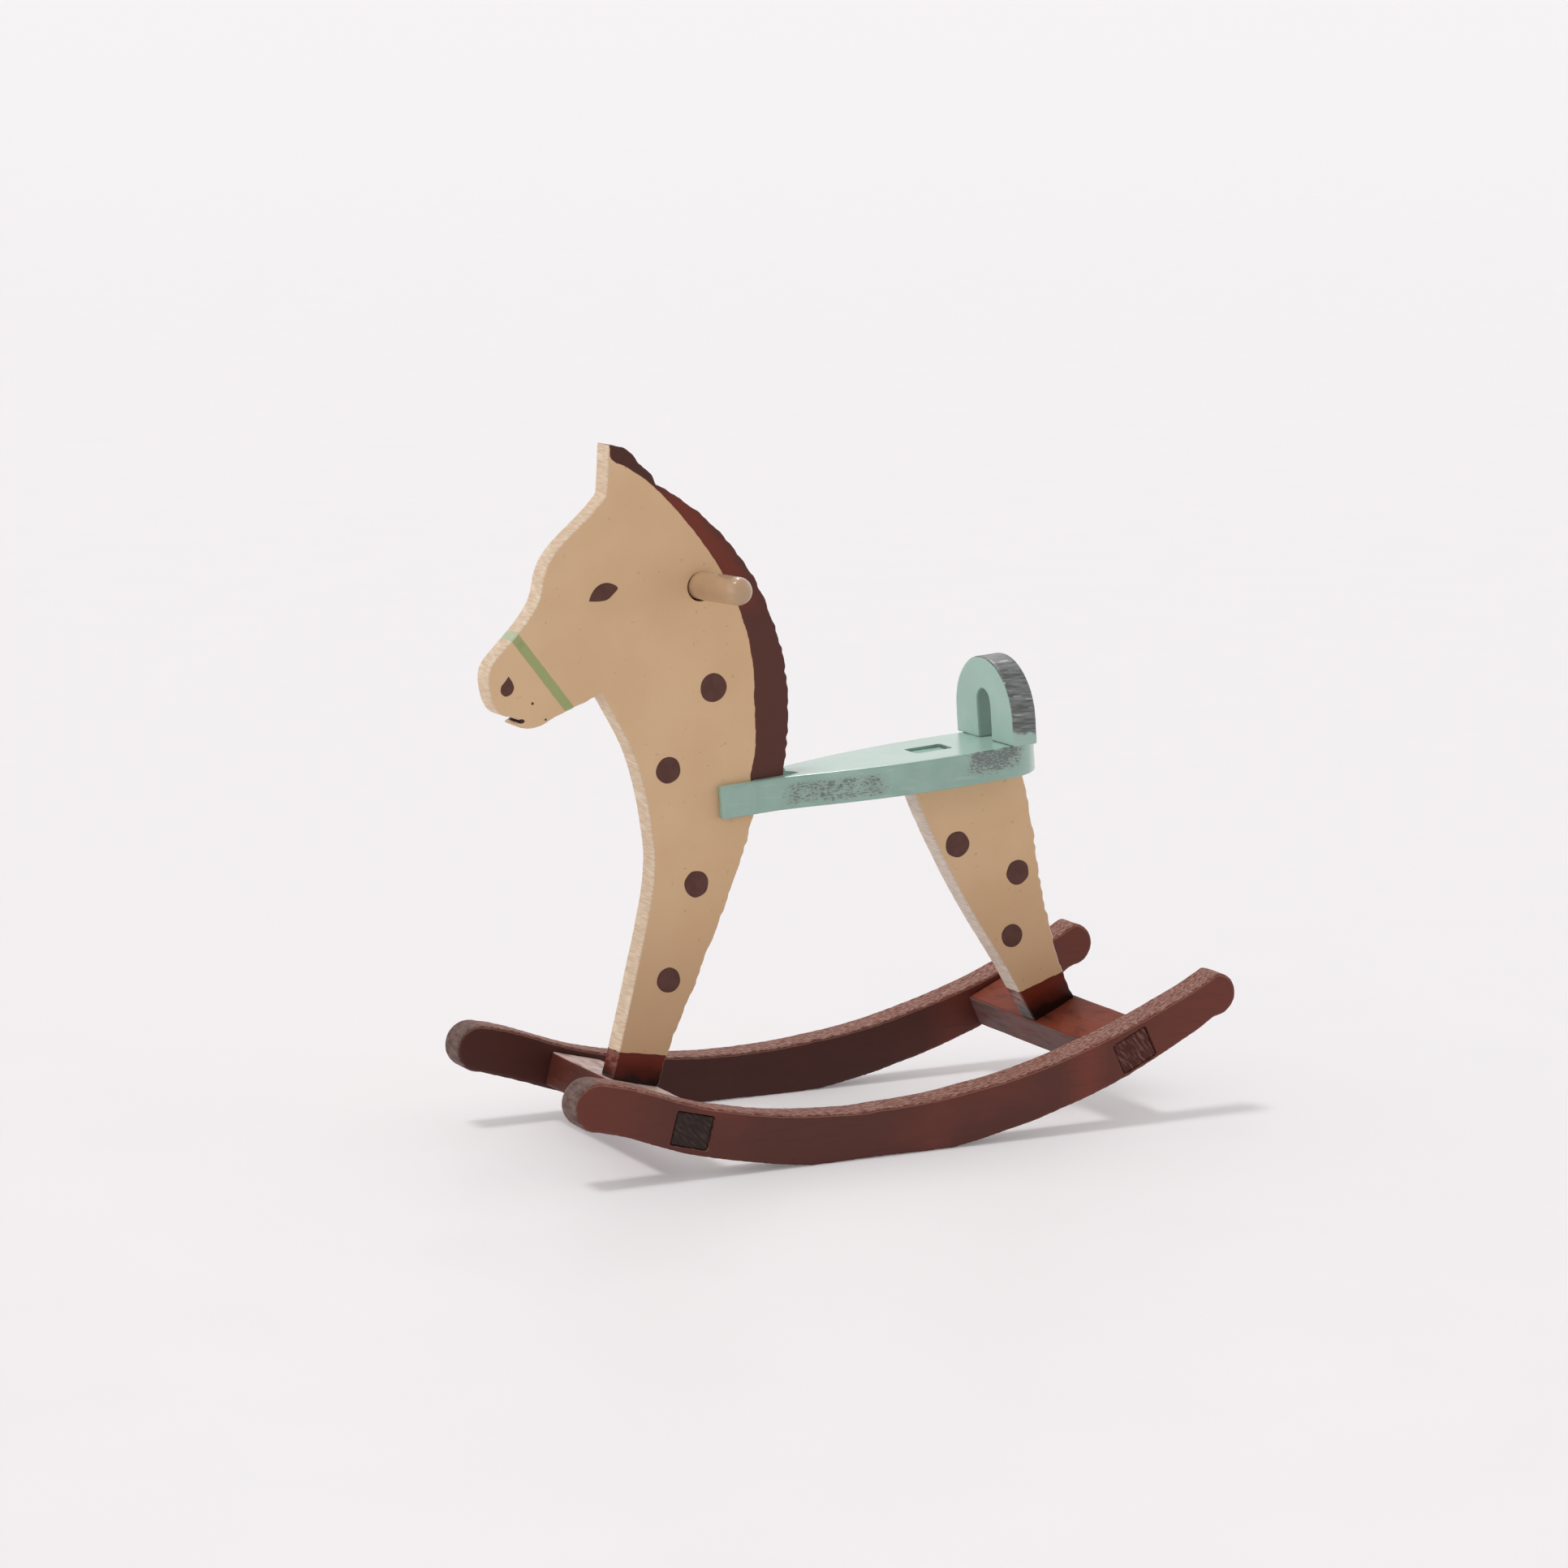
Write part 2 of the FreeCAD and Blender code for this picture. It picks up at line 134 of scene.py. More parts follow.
def face_loops(node, normal):
    """The closed outlines of the outermost flat face along normal, largest first, and its height."""
    solid = bmesh.new()
    solid.from_mesh(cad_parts[node].data)
    bmesh.ops.remove_doubles(solid, verts=solid.verts, dist=WELD)
    solid.normal_update()
    top = max(vertex.co.dot(normal) for vertex in solid.verts)
    cap = dict.fromkeys(  # which keeps the faces in the same order in every run
        face
        for face in solid.faces
        if face.normal.dot(normal) > FLAT and abs(face.verts[0].co.dot(normal) - top) < LEVEL
    )
    following = {}
    for face in cap:
        for corner in face.loops:
            if not any(other in cap for other in corner.edge.link_faces if other is not face):
                following[corner.vert] = corner.link_loop_next.vert
    loops = []
    while following:
        start, vertex = following.popitem()
        loop = [start.co.copy()]
        while vertex is not start:
            loop.append(vertex.co.copy())
            vertex = following.pop(vertex)
        loops.append(loop)
    solid.free()
    loops.sort(key=len_of_loop, reverse=True)
    return loops, top


def len_of_loop(loop):
    return sum((a - b).length for a, b in zip(loop, loop[1:] + loop[:1]))


# ---------------------------------------------------------------- outlines, as complex numbers
def smooth_run(points, spacing):
    """Evenly spaced points on a smooth line through a run of points."""
    at = np.concatenate([[0.0], np.cumsum(np.abs(np.diff(points)))])
    slope = np.gradient(points, at)
    places = np.linspace(0, at[-1], max(1, round(at[-1] / spacing)) + 1)
    index = np.clip(np.searchsorted(at, places, side="right") - 1, 0, len(at) - 2)
    gap = at[index + 1] - at[index]
    part = (places - at[index]) / gap
    square, cube = part**2, part**3
    return (
        (2 * cube - 3 * square + 1) * points[index]
        + (cube - 2 * square + part) * gap * slope[index]
        + (3 * square - 2 * cube) * points[index + 1]
        + (cube - square) * gap * slope[index + 1]
    )


def resampled(loop, spacing):
    """A closed outline again with even spacing, smooth except at its sharp corners."""
    ahead = np.roll(loop, -1) - loop
    turn = np.abs(np.angle(ahead / np.roll(ahead, 1)))
    reach = np.abs(ahead)
    beside = np.maximum(np.roll(reach, 1), np.roll(reach, -1))
    straight = (reach > STRAIGHT) & (reach > LONGER * beside)
    sharp = np.flatnonzero((turn > SHARP_TURN) | straight | np.roll(straight, 1))
    if len(sharp) == 0:
        sharp = np.array([0])
    stops = list(sharp - sharp[0]) + [len(loop)]
    closed = np.roll(loop, -sharp[0])
    closed = np.append(closed, closed[0])
    runs = [smooth_run(closed[a : b + 1], spacing) for a, b in zip(stops, stops[1:])]
    even = np.concatenate([run[:-1] for run in runs])
    for _ in range(SMOOTHINGS):
        even = 0.5 * even + 0.25 * (np.roll(even, 1) + np.roll(even, -1))
    return even


def outward_of(outline):
    """The direction out of the wood at each point of an outline."""
    tangent = np.roll(outline, -1) - np.roll(outline, 1)
    return -1j * tangent / np.abs(tangent)


def along_of(outline):
    """How far round an outline each point is, and the whole way round."""
    steps = np.abs(np.roll(outline, -1) - outline)
    return np.concatenate([[0.0], np.cumsum(steps)[:-1]]), steps.sum()


def ripple(along, across, length, wave, seed):
    """Smooth seeded noise from -1 to 1 over an edge, which joins up with itself round the outline."""
    period, row = wave
    cells = max(3, round(length / period))
    rows = math.ceil(across.max() / row) + 2
    table = np.random.default_rng(seed).uniform(-1, 1, (rows, cells))
    a, b = along / length * cells, across / row
    i, j = np.floor(a).astype(int), np.floor(b).astype(int)
    s, t = a - i, b - j
    s, t = s * s * (3 - 2 * s), t * t * (3 - 2 * t)
    i, following = i % cells, (i + 1) % cells
    low = table[j, i] * (1 - s) + table[j, following] * s
    high = table[j + 1, i] * (1 - s) + table[j + 1, following] * s
    return low * (1 - t) + high * t


def waves(along, across, length, table, seed):
    """Several waves of ripples over an edge, added up."""
    return sum(
        share * ripple(along + slant * across, across, length, wave, seed + order)
        for order, (wave, slant, share) in enumerate(table)
    )


def saw_marks(along, depth, length, finish, seed):
    """How far a sawn edge stands out: the saw's slow wander and the marks of its teeth."""
    slow = ripple(along, depth, length, SLOW_WAVE, seed)
    marks = waves(along, depth, length, TEETH_WAVES, seed + 1)
    return finish["wander"] * slow + finish["teeth"] * marks, marks


# ---------------------------------------------------------------- meshes
NEAR = 1e-6  # points closer than this, in millimetres, are one when a face is filled
SLIVER = 1e-14  # a triangle smaller than this, in square metres, is left out


def inside(points, rings):
    """Which points lie inside an odd number of the rings."""
    odd = np.zeros(len(points), bool)
    for ring in rings:
        start, end = ring[None, :], np.roll(ring, -1)[None, :]
        level = points.imag[:, None]
        spans = (start.imag > level) != (end.imag > level)
        rise = np.where(spans, end.imag - start.imag, 1.0)
        reach = start.real + (level - start.imag) / rise * (end.real - start.real)
        odd ^= (spans & (points.real[:, None] < reach)).sum(1) % 2 == 1
    return odd


def fill(rings):
    """Triangles that fill a flat face bounded by rings, as numbers counted through all the rings."""
    points = np.concatenate(rings)
    edges, start = [], 0
    for ring in rings:
        numbers = np.arange(len(ring)) + start
        edges += list(zip(numbers.tolist(), np.roll(numbers, -1).tolist()))
        start += len(ring)
    flat = [Vector((point.real, point.imag)) for point in points / MM]
    made, _, faces, origins = geometry.delaunay_2d_cdt(flat, edges, [], 0, NEAR)[:4]
    made = np.array([complex(*point) for point in made]) * MM
    number = np.array(
        [
            from_input[0] if from_input else np.abs(points - place).argmin()
            for place, from_input in zip(made, origins)
        ]
    )
    faces = number[np.array(faces)]
    corners = points[faces]
    faces = faces[inside(corners.mean(1), rings)]
    corners = points[faces]
    area = ((corners[:, 1] - corners[:, 0]).conj() * (corners[:, 2] - corners[:, 0])).imag
    faces, area = faces[np.abs(area) > SLIVER], area[np.abs(area) > SLIVER]
    faces[area < 0] = faces[area < 0][:, ::-1]
    return faces


def in_space(parts, axes):
    """Points in space, from how far they are along each of three axes."""
    return sum(part[..., None] * np.array(axis) for part, axis in zip(parts, axes))


def grid_faces(rows, count, start):
    """Quads between closed rows of points, each row after the one before."""
    row, column = np.meshgrid(np.arange(rows - 1), np.arange(count), indexing="ij")
    here = start + row * count
    following = (column + 1) % count
    quads = [here + column, here + count + column, here + count + following, here + following]
    return np.stack(quads, -1).reshape(-1, 4)


def linked(name, data):
    """An object in the scene that shows some data."""
    made = bpy.data.objects.new(name, data)
    bpy.context.scene.collection.objects.link(made)
    return made


def closed_sleeve(rows, count):
    """The quads of a sleeve of closed rows of points, and the two faces that close its ends."""
    rim = np.arange(count)
    return [grid_faces(rows, count, 0)], [rim[None, :], (rim + (rows - 1) * count)[None, :]]


def new_piece(name, points, smooth_faces, flat_faces, attributes, stands_for=()):
    """A mesh object on the one body, which may stand for CAD nodes."""
    mesh = bpy.data.meshes.new(name)
    faces = [face for block in (*smooth_faces, *flat_faces) for face in block.tolist()]
    mesh.from_pydata(points.tolist(), [], faces)
    flat_count = sum(len(block) for block in flat_faces)
    smooth = np.arange(len(faces)) < len(faces) - flat_count
    mesh.polygons.foreach_set("use_smooth", smooth)
    for key, values in attributes.items():
        layer = mesh.attributes.new(key, "FLOAT", "POINT")
        layer.data.foreach_set("value", np.asarray(values, np.float32))
    solid = bmesh.new()
    solid.from_mesh(mesh)
    bmesh.ops.recalc_face_normals(solid, faces=solid.faces)
    solid.to_mesh(mesh)
    solid.free()
    piece = linked(name, mesh)
    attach(piece, "root")
    if stands_for:
        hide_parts(*stands_for)
    return piece


def rim_profile(thickness, rounding):
    """Depth below the face and inset from the outline for each row across a board's edge."""
    angle = np.linspace(0, math.pi / 2, RIM_STEPS + 1)
    depth = rounding * (1 - np.cos(angle))
    inset = rounding * (1 - np.sin(angle))
    rows = max(2, round((thickness - 2 * rounding) / ROW))
    middle = np.linspace(rounding, thickness - rounding, rows + 1)[1:-1]
    depths = np.concatenate([depth, middle, thickness - depth[::-1]])
    insets = np.concatenate([inset, np.zeros(len(middle)), inset[::-1]])
    return depths, insets


def rim_share(outline, holes, rounding):
    """The share of the rounding that fits at each point, which is less where a hole is near."""
    if not holes:
        return np.ones(len(outline))
    wall = np.abs(outline[:, None] - np.concatenate(holes)[None, :]).min(1)
    return np.clip((wall - THIN_WALL) / rounding, LEAST_RIM, 1)


def board(name, node, normal, up, finish, gap=(0.0, 0j)):
    """A CAD board again, with its rims rubbed round and its sawn edges rippled.
    The gap widens and moves its holes, so that a dark line shows round what fills them."""
    across = up.cross(normal)
    loops, top = face_loops(node, normal)
    low, high = span(node_points(node), normal)
    seed, rounding = SEEDS[node], finish["rounding"]
    depths, insets = rim_profile(high - low, rounding)
    side = np.sqrt(np.clip(1 - insets / rounding, 0, 1))
    points, quads, sides, marks, first, last = [], [], [], [], [], []
    start = 0
    flat = [np.array([complex(point.dot(across), point.dot(up)) for point in loop]) for loop in loops]
    outlines = [resampled(loop, STEP) for loop in flat]
    share = rim_share(outlines[0], outlines[1:], rounding)
    for order, outline in enumerate(outlines):
        outward = outward_of(outline)
        along, length = along_of(outline)
        along, depth = np.meshgrid(along, depths)
        lift, mark = saw_marks(along, depth, length, finish, seed + 10 * order)
        inset = insets[:, None] * (HOLE_SHARE if order else share[None, :])
        if order:
            outline = outline - gap[0] * outward + gap[1]
            lift = lift * HOLE_SHARE
        else:
            rearward = np.clip(outward.real, 0, 1)
            lift += finish["rear"] * rearward * waves(along, depth, length, BITES, seed + 3)
        ring = outline[None, :] + outward[None, :] * (lift - inset)
        place = in_space((ring.real, ring.imag, top - depth), (across, up, normal))
        points.append(place.reshape(-1, 3))
        quads.append(grid_faces(len(depths), len(outline), start))
        sides.append(np.repeat(side, len(outline)))
        marks.append(mark.ravel())
        first.append((ring[0], start + np.arange(len(outline))))
        last.append((ring[-1], start + (len(depths) - 1) * len(outline) + np.arange(len(outline))))
        start += ring.size
    caps = []
    for rings in (first, last):
        numbers = np.concatenate([numbers for _, numbers in rings])
        caps.append(numbers[fill([ring for ring, _ in rings])])
    attributes = {"side": np.concatenate(sides), "saw": np.concatenate(marks)}
    return new_piece(name, np.concatenate(points), quads, caps, attributes, [node])


# ---------------------------------------------------------------- materials
def linear(red, green, blue):
    """A colour given in 0 to 255 as on a screen, in the numbers that shaders use."""
    shares = [value / 255 for value in (red, green, blue)]
    return tuple(s / 12.92 if s <= 0.04045 else ((s + 0.055) / 1.055) ** 2.4 for s in shares)


class Nodes:
    """Shader nodes under construction: short calls that each add a node and return its output."""

    def __init__(self, tree):
        self.tree = tree

    def node(self, kind, **settings):
        made = self.tree.nodes.new(kind)
        for key, value in settings.items():
            setattr(made, key, value)
        return made

    def join(self, value, socket):
        if isinstance(value, bpy.types.NodeSocket):
            self.tree.links.new(value, socket)
        elif isinstance(value, tuple) and socket.type == "RGBA":
            socket.default_value = (*value, 1.0)
        else:
            socket.default_value = value

    def split(self, direction):
        """The three parts of a direction."""
        made = self.node("ShaderNodeSeparateXYZ")
        self.join(direction, made.inputs[0])
        return made.outputs

    def step(self, value, low, high, before=0.0, after=1.0):
        """From before where value is at low to after where it is at high, with soft ends."""
        made = self.node("ShaderNodeMapRange", interpolation_type="SMOOTHSTEP")
        keys = ("Value", "From Min", "From Max", "To Min", "To Max")
        for source, key in zip((value, low, high, before, after), keys):
            self.join(source, made.inputs[key])
        return made.outputs["Result"]


class Paint(Nodes):
    """A material, its places in millimetres."""

    def __init__(self, name):
        self.material = bpy.data.materials.new(name)
        self.material.use_nodes = True
        super().__init__(self.material.node_tree)
        place = self.node("ShaderNodeTexCoord").outputs["Object"]
        self.place = self.vector("SCALE", place, 1 / MM)
        self.x, self.y, self.z = self.split(self.place)

    def math(self, operation, *values):
        made = self.node("ShaderNodeMath", operation=operation)
        for value, socket in zip(values, made.inputs):
            self.join(value, socket)
        return made.outputs[0]

    def vector(self, operation, value, other=None):
        made = self.node("ShaderNodeVectorMath", operation=operation)
        self.join(value, made.inputs[0])
        if other is not None:
            self.join(other, made.inputs["Scale" if operation == "SCALE" else 1])
        return made.outputs["Value" if operation in ("DOT_PRODUCT", "LENGTH") else "Vector"]

    def noise(self, period, stretch=(1, 1, 1), detail=2.0, roughness=0.5, offset=0.0):
        """Noise whose features are about period millimetres across, stretched along each axis."""
        made = self.node("ShaderNodeTexNoise", noise_dimensions="3D")
        scaled = self.vector("MULTIPLY", self.place, tuple(1 / (period * s) for s in stretch))
        moved = self.vector("ADD", scaled, (offset, offset, offset))
        self.join(moved, made.inputs["Vector"])
        self.join(1.0, made.inputs["Scale"])
        self.join(detail, made.inputs["Detail"])
        self.join(roughness, made.inputs["Roughness"])
        return made.outputs["Fac"]

    def attribute(self, name):
        return self.node("ShaderNodeAttribute", attribute_name=name).outputs["Fac"]

    def mix(self, factor, base, over):
        made = self.node("ShaderNodeMix", data_type="RGBA")
        self.join(factor, made.inputs[0])
        self.join(base, made.inputs[6])
        self.join(over, made.inputs[7])
        return made.outputs[2]

    def cover(self, base, over, *masks, share=None):
        """One colour laid over another, as far as all the masks and its share let it."""
        masks = masks if share is None else (*masks, share)
        return self.mix(self.times(*masks), base, over)

    def reverse(self, value):
        return self.math("SUBTRACT", 1.0, value)

    def falls(self, value, low, high):
        """From 1 where value is at low to 0 where it is at high, with soft ends."""
        return self.reverse(self.step(value, low, high))

    def band(self, value, low, high, soft):
        """1 where value is between low and high and 0 outside, with soft ends."""
        rises = self.step(value, low - soft, low + soft)
        return self.times(rises, self.falls(value, high - soft, high + soft))

    def wobble(self, size, period, offset):
        """Noise from -size to size, period millimetres across."""
        return self.math("MULTIPLY_ADD", self.noise(period, detail=3.0, offset=offset), 2 * size, -size)

    def times(self, *values):
        product = values[0]
        for value in values[1:]:
            product = self.math("MULTIPLY", product, value)
        return product

    def finish(self, colour, roughness, height, depth, specular=0.5, coat=0.0, coat_roughness=0.1, **others):
        """Joins up the surface; height from 0 to 1 stands for depth millimetres of relief."""
        bump = self.node("ShaderNodeBump")
        self.join(1.0, bump.inputs["Strength"])
        self.join(depth * MM, bump.inputs["Distance"])
        self.join(height, bump.inputs["Height"])
        surface = {
            "Normal": bump.outputs["Normal"],
            "Base Color": colour,
            "Roughness": roughness,
            "Specular IOR Level": specular,
            "Coat Weight": coat,
            "Coat Roughness": coat_roughness,
            **others,
        }
        for key, value in surface.items():
            self.join(value, self.tree.nodes["Principled BSDF"].inputs[key])
        return self.material


# ---------------------------------------------------------------- the camera and the room
AZIMUTH = math.radians(-26.787)
ELEVATION = math.radians(9.514)
DISTANCE = 0.86794
LENS = 109.97
SENSOR = 36.0
AIM = Vector((-9.77, 0, 0.065)) * MM  # from the middle of the box

FLOOR_RADIUS = 90.0
FLOOR_GLOW = 0.2
FLOOR_TONES = (linear(229, 226, 227), linear(232, 229, 230))

SOFTBOX_TILT = math.radians(18)
SOFTBOX_SPREAD = math.radians(13)
SOFTBOX_STRENGTH = 1.0
LAMP_DIRECTION = Vector((0.25, 0.5, 0.83))
LAMP_DISTANCE = 0.8
LAMP_SIZE = 0.03
LAMP_POWER = 2.5
CEILING = 0.4
BACKDROP = 1.22
CAMERA_SIDE = 0.22
ROOM_TONE = (1.0, 0.99, 0.995)
CLIP = (0.01, 500.0)
FLOOR_GRAIN = 30.0
FLOOR_SIDES = 64

# The room's brightness fades between these heights or sideways places of a direction.
BEHIND_CAMERA = (-0.97, -0.45)
HORIZON = (0.06, 0.16)
OVERHEAD = (0.35, 0.75)


def photographer():
    """The camera, at the photograph's viewing angle."""
    back = Vector(
        (
            math.sin(AZIMUTH) * math.cos(ELEVATION),
            -math.cos(AZIMUTH) * math.cos(ELEVATION),
            math.sin(ELEVATION),
        )
    )
    data = bpy.data.cameras.new("camera")
    data.lens = LENS
    data.sensor_width = SENSOR
    data.clip_start, data.clip_end = CLIP
    camera = linked("camera", data)
    camera.location = (cad_low + cad_high) / 2 + AIM + back * DISTANCE
    camera.rotation_euler = back.to_track_quat("Z", "Y").to_euler()
    bpy.context.scene.camera = camera


def floor():
    """A wide pale floor that glows a little and runs out to the horizon."""
    paint = Paint("floor_paper")
    grain = paint.noise(FLOOR_GRAIN, detail=1.0)
    colour = paint.mix(grain, *FLOOR_TONES)
    glow = {"Emission Color": FLOOR_TONES[0], "Emission Strength": FLOOR_GLOW}
    material = paint.finish(colour, 0.5, grain, 0.01, specular=0.1, **glow)
    mesh = bpy.data.meshes.new("floor")
    solid = bmesh.new()
    bmesh.ops.create_circle(solid, cap_ends=True, segments=FLOOR_SIDES, radius=FLOOR_RADIUS)
    solid.to_mesh(mesh)
    solid.free()
    mesh.materials.append(material)
    piece = linked("floor", mesh)


def light(name, kind, power, place, towards):
    """A light at a place, shining back from a direction."""
    data = bpy.data.lights.new(name, kind)
    data.energy = power
    lamp = linked(name, data)
    lamp.location = place
    lamp.rotation_euler = towards.to_track_quat("Z", "Y").to_euler()
    return lamp


def lights():
    """A broad overhead softbox that leans in from the horse's front, and a small lamp for sparkle."""
    overhead = Vector((-math.sin(SOFTBOX_TILT), 0, math.cos(SOFTBOX_TILT)))
    softbox = light("softbox", "SUN", SOFTBOX_STRENGTH, (0, 0, 1), overhead)
    softbox.data.angle = SOFTBOX_SPREAD
    middle = (cad_low + cad_high) / 2
    lamp = light("sparkle", "AREA", LAMP_POWER, middle + LAMP_DIRECTION * LAMP_DISTANCE, LAMP_DIRECTION)
    lamp.data.size = LAMP_SIZE
    lamp.visible_diffuse = False


def room():
    """A white room: bright walls, dimmer overhead and behind the camera."""
    world = bpy.data.worlds.new("room")
    world.use_nodes = True
    sky = Nodes(world.node_tree)
    part = sky.split(sky.node("ShaderNodeTexCoord").outputs["Generated"])
    walls = sky.step(part["Y"], *BEHIND_CAMERA, CAMERA_SIDE, BACKDROP)
    walls = sky.step(part["Z"], *HORIZON, BACKDROP, walls)
    background = world.node_tree.nodes["Background"].inputs
    sky.join(sky.step(part["Z"], *OVERHEAD, walls, CEILING), background["Strength"])
    sky.join(ROOM_TONE, background["Color"])
    bpy.context.scene.world = world
    bpy.context.scene.view_settings.view_transform = "Standard"


# ---------------------------------------------------------------- where things are, in millimetres
head_low, head_high = (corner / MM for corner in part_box("head_board"))
leg_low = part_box("rear_leg")[0] / MM
plank_low, plank_high = (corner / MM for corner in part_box("seat_board"))
arch_low, arch_high = (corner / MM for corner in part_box("seat_back"))
seat_up = facing("seat_board", Z_AXIS)
seat_along = Y_AXIS.cross(seat_up)
seat_top = span(node_points("seat_board"), seat_up)[1] / MM


def on_head(along, up):
    """A place on the head board's face, from its front and its foot."""
    return head_low.x + along, head_low.z + up


def on_leg(along, up):
    """A place on the rear leg's face, from its front and its foot."""
    return leg_low.x + along, leg_low.z + up


def upward(paint):
    """How much a surface looks up, from -1 to 1."""
    normal = paint.node("ShaderNodeNewGeometry").outputs["Normal"]
    return paint.vector("DOT_PRODUCT", normal, (0, 0, 1))


# ---------------------------------------------------------------- paint on the horse
CREAM = linear(226, 190, 150)
CREAM_WARM = linear(220, 183, 142)
# the cream in painted shade, low on the legs
CREAM_PAINTED_SHADE = linear(196, 156, 118)
CREAM_FLECK = linear(170, 130, 96)
SAWN = (linear(206, 178, 148), linear(222, 198, 170))
SAWN_GREYED = (linear(206, 186, 170), linear(224, 208, 194))
SAWN_PALE = linear(240, 228, 210)
BROWN = linear(90, 50, 41)
BROWN_RED = linear(118, 52, 37)
BROWN_DARK = linear(68, 38, 31)
ENAMEL = (linear(82, 42, 31), linear(92, 52, 40))
HOOF = linear(106, 40, 26)
# the lower hoof: the lacquer's darker drips, and painted shade
HOOF_DARK = linear(60, 24, 19)
HOOF_WORN = linear(132, 88, 76)
# painted contact shadow at the foot of each hoof
HOOF_FOOT_SHADOW = linear(26, 14, 12)
GREEN = linear(150, 168, 110)
GREEN_PALE = linear(176, 192, 158)
GREEN_DARK = linear(70, 96, 60)
TEAL = linear(152, 186, 173)
TEAL_DEEP = linear(140, 174, 160)
TEAL_PALE = linear(184, 210, 199)
GREY_WEAR = linear(138, 142, 139)
# near-white for the painted light on the seat's rear end
PAINTED_LIGHT_PALE = linear(214, 220, 212)
GREY_DARK = linear(86, 90, 89)
GREY_PALE = linear(196, 200, 197)
SPECK_DARK = linear(62, 76, 72)

# From here on, a pair of numbers is where a mask begins and where it is full, a third number
# is how soft its ends are, and a share is how strongly it covers. Lengths are in millimetres.
CLOUDS = (0.3, 0.7)
RELIEF = 0.08  # how deep the marks in the paint and the wood are

LEG_PAINTED_SHADE = (9.2, 47.2)  # heights above the foot between which the painted shade on the legs fades out
FLECKS = (0.69, 0.75)
BARE_EDGE = (0.45, 0.62)
SAW_STREAKS = (0.34, 0.66)
SAW_RIDGES = (0.2, 0.9)


def horse_base(paint, sawn_tones):
    """Cream paint with painted shade towards the feet, and rough, paler sawn edges. Returns colour, height
    and the edge mask.
    """
    colour = paint.mix(paint.step(paint.noise(14.0, detail=3.0), *CLOUDS), CREAM, CREAM_WARM)
    # painted shade: the cream darkens towards the foot, standing in for the shade low on the legs
    painted_shade = paint.falls(paint.z, *(head_low.z + height for height in LEG_PAINTED_SHADE))
    colour = paint.cover(colour, CREAM_PAINTED_SHADE, painted_shade, share=0.55)
    fleck = paint.step(paint.noise(1.1, offset=7.0), *FLECKS)
    colour = paint.cover(colour, CREAM_FLECK, fleck, share=0.35)
    rim = paint.math("ADD", paint.attribute("side"), paint.wobble(0.2, 0.9, 3.0))
    edge = paint.step(rim, *BARE_EDGE)
    streak = paint.noise(0.34, stretch=(1, 9, 1), offset=11.0)
    sawn = paint.mix(paint.step(streak, *SAW_STREAKS), *sawn_tones)
    ridge = paint.step(paint.attribute("saw"), *SAW_RIDGES)
    colour = paint.mix(edge, colour, paint.cover(sawn, SAWN_PALE, ridge, share=0.45))
    peel = paint.times(paint.noise(0.5, offset=5.0), 0.3)
    return colour, paint.math("ADD", peel, paint.times(streak, edge, 0.7)), edge


def horse_finish(paint, colour, height, raised, hoof_mask):
    """Satin cream and glossier hooves, with the brown paint and the lacquer standing up a little."""
    height = paint.math("ADD", paint.times(height, 0.5), paint.times(raised, 0.5))
    rough = paint.math("MULTIPLY_ADD", hoof_mask, -0.2, 0.46)
    return paint.finish(colour, rough, height, RELIEF, specular=0.25)


# The lacquer's line on each hoof, from its front end to its rear end, and what happens at
# these depths below it.
FRONT_HOOF = ((24.8, 9.0), (34.8, 7.4))
REAR_HOOF = ((24.0, 7.8), (32.9, 10.7))
HOOF_EDGE = (0.0, 0.12)
HOOF_DARKENS = (0.8, 5.5)
HOOF_WEAR_ENDS = (1.5, 4.0)
# depths where the painted shadow at the foot turns near-black
HOOF_SHADOW_DEPTHS = (4.0, 5.6)
HOOF_BARE = (0.36, 0.60)


def hoof(paint, colour, edge, start, end):
    """Red-brown lacquer below a line from start to end, darker lower down, worn on the cut edges, with a
    painted black shadow at the foot.
    """
    slope = (end[1] - start[1]) / (end[0] - start[0])
    line = paint.math("MULTIPLY_ADD", paint.x, slope, start[1] - slope * start[0])
    line = paint.math("ADD", line, paint.wobble(0.3, 2.2, 21.0))
    below = paint.math("SUBTRACT", line, paint.z)
    run = paint.math("ADD", below, paint.wobble(1.6, 2.5, 61.0))
    # darker lower down: partly the lacquer's own drips, partly painted shade
    tone = paint.mix(paint.step(run, *HOOF_DARKENS), HOOF, HOOF_DARK)
    bare = paint.step(paint.noise(0.8, stretch=(1, 3, 1), detail=3.0, offset=63.0), *HOOF_BARE)
    worn = paint.falls(run, *HOOF_WEAR_ENDS)
    tone = paint.cover(tone, HOOF_WORN, edge, bare, worn, share=0.75)
    # painted shadow: near-black at the foot, where the hoof stands on the crossbar
    tone = paint.cover(tone, HOOF_FOOT_SHADOW, paint.step(run, *HOOF_SHADOW_DEPTHS), share=0.8)
    mask = paint.step(below, *HOOF_EDGE)
    return paint.mix(mask, colour, tone), mask


MANE_UP = (55.0, 119.0)  # the mane's border is drawn between these heights above the foot
MANE_ALONG = (20.0, 60.0)  # and these distances from the board's front
MANE = [
    (56.2, 50.9), (63.2, 51.9), (71.2, 51.7), (78.7, 51.2), (86.2, 49.2), (93.8, 45.6), (100.8, 40.7),
    (107.2, 35.1), (111.5, 30.4), (113.1, 28.0), (114.3, 26.0), (115.0, 24.3), (115.9, 23.5), (118.1, 23.4),
]


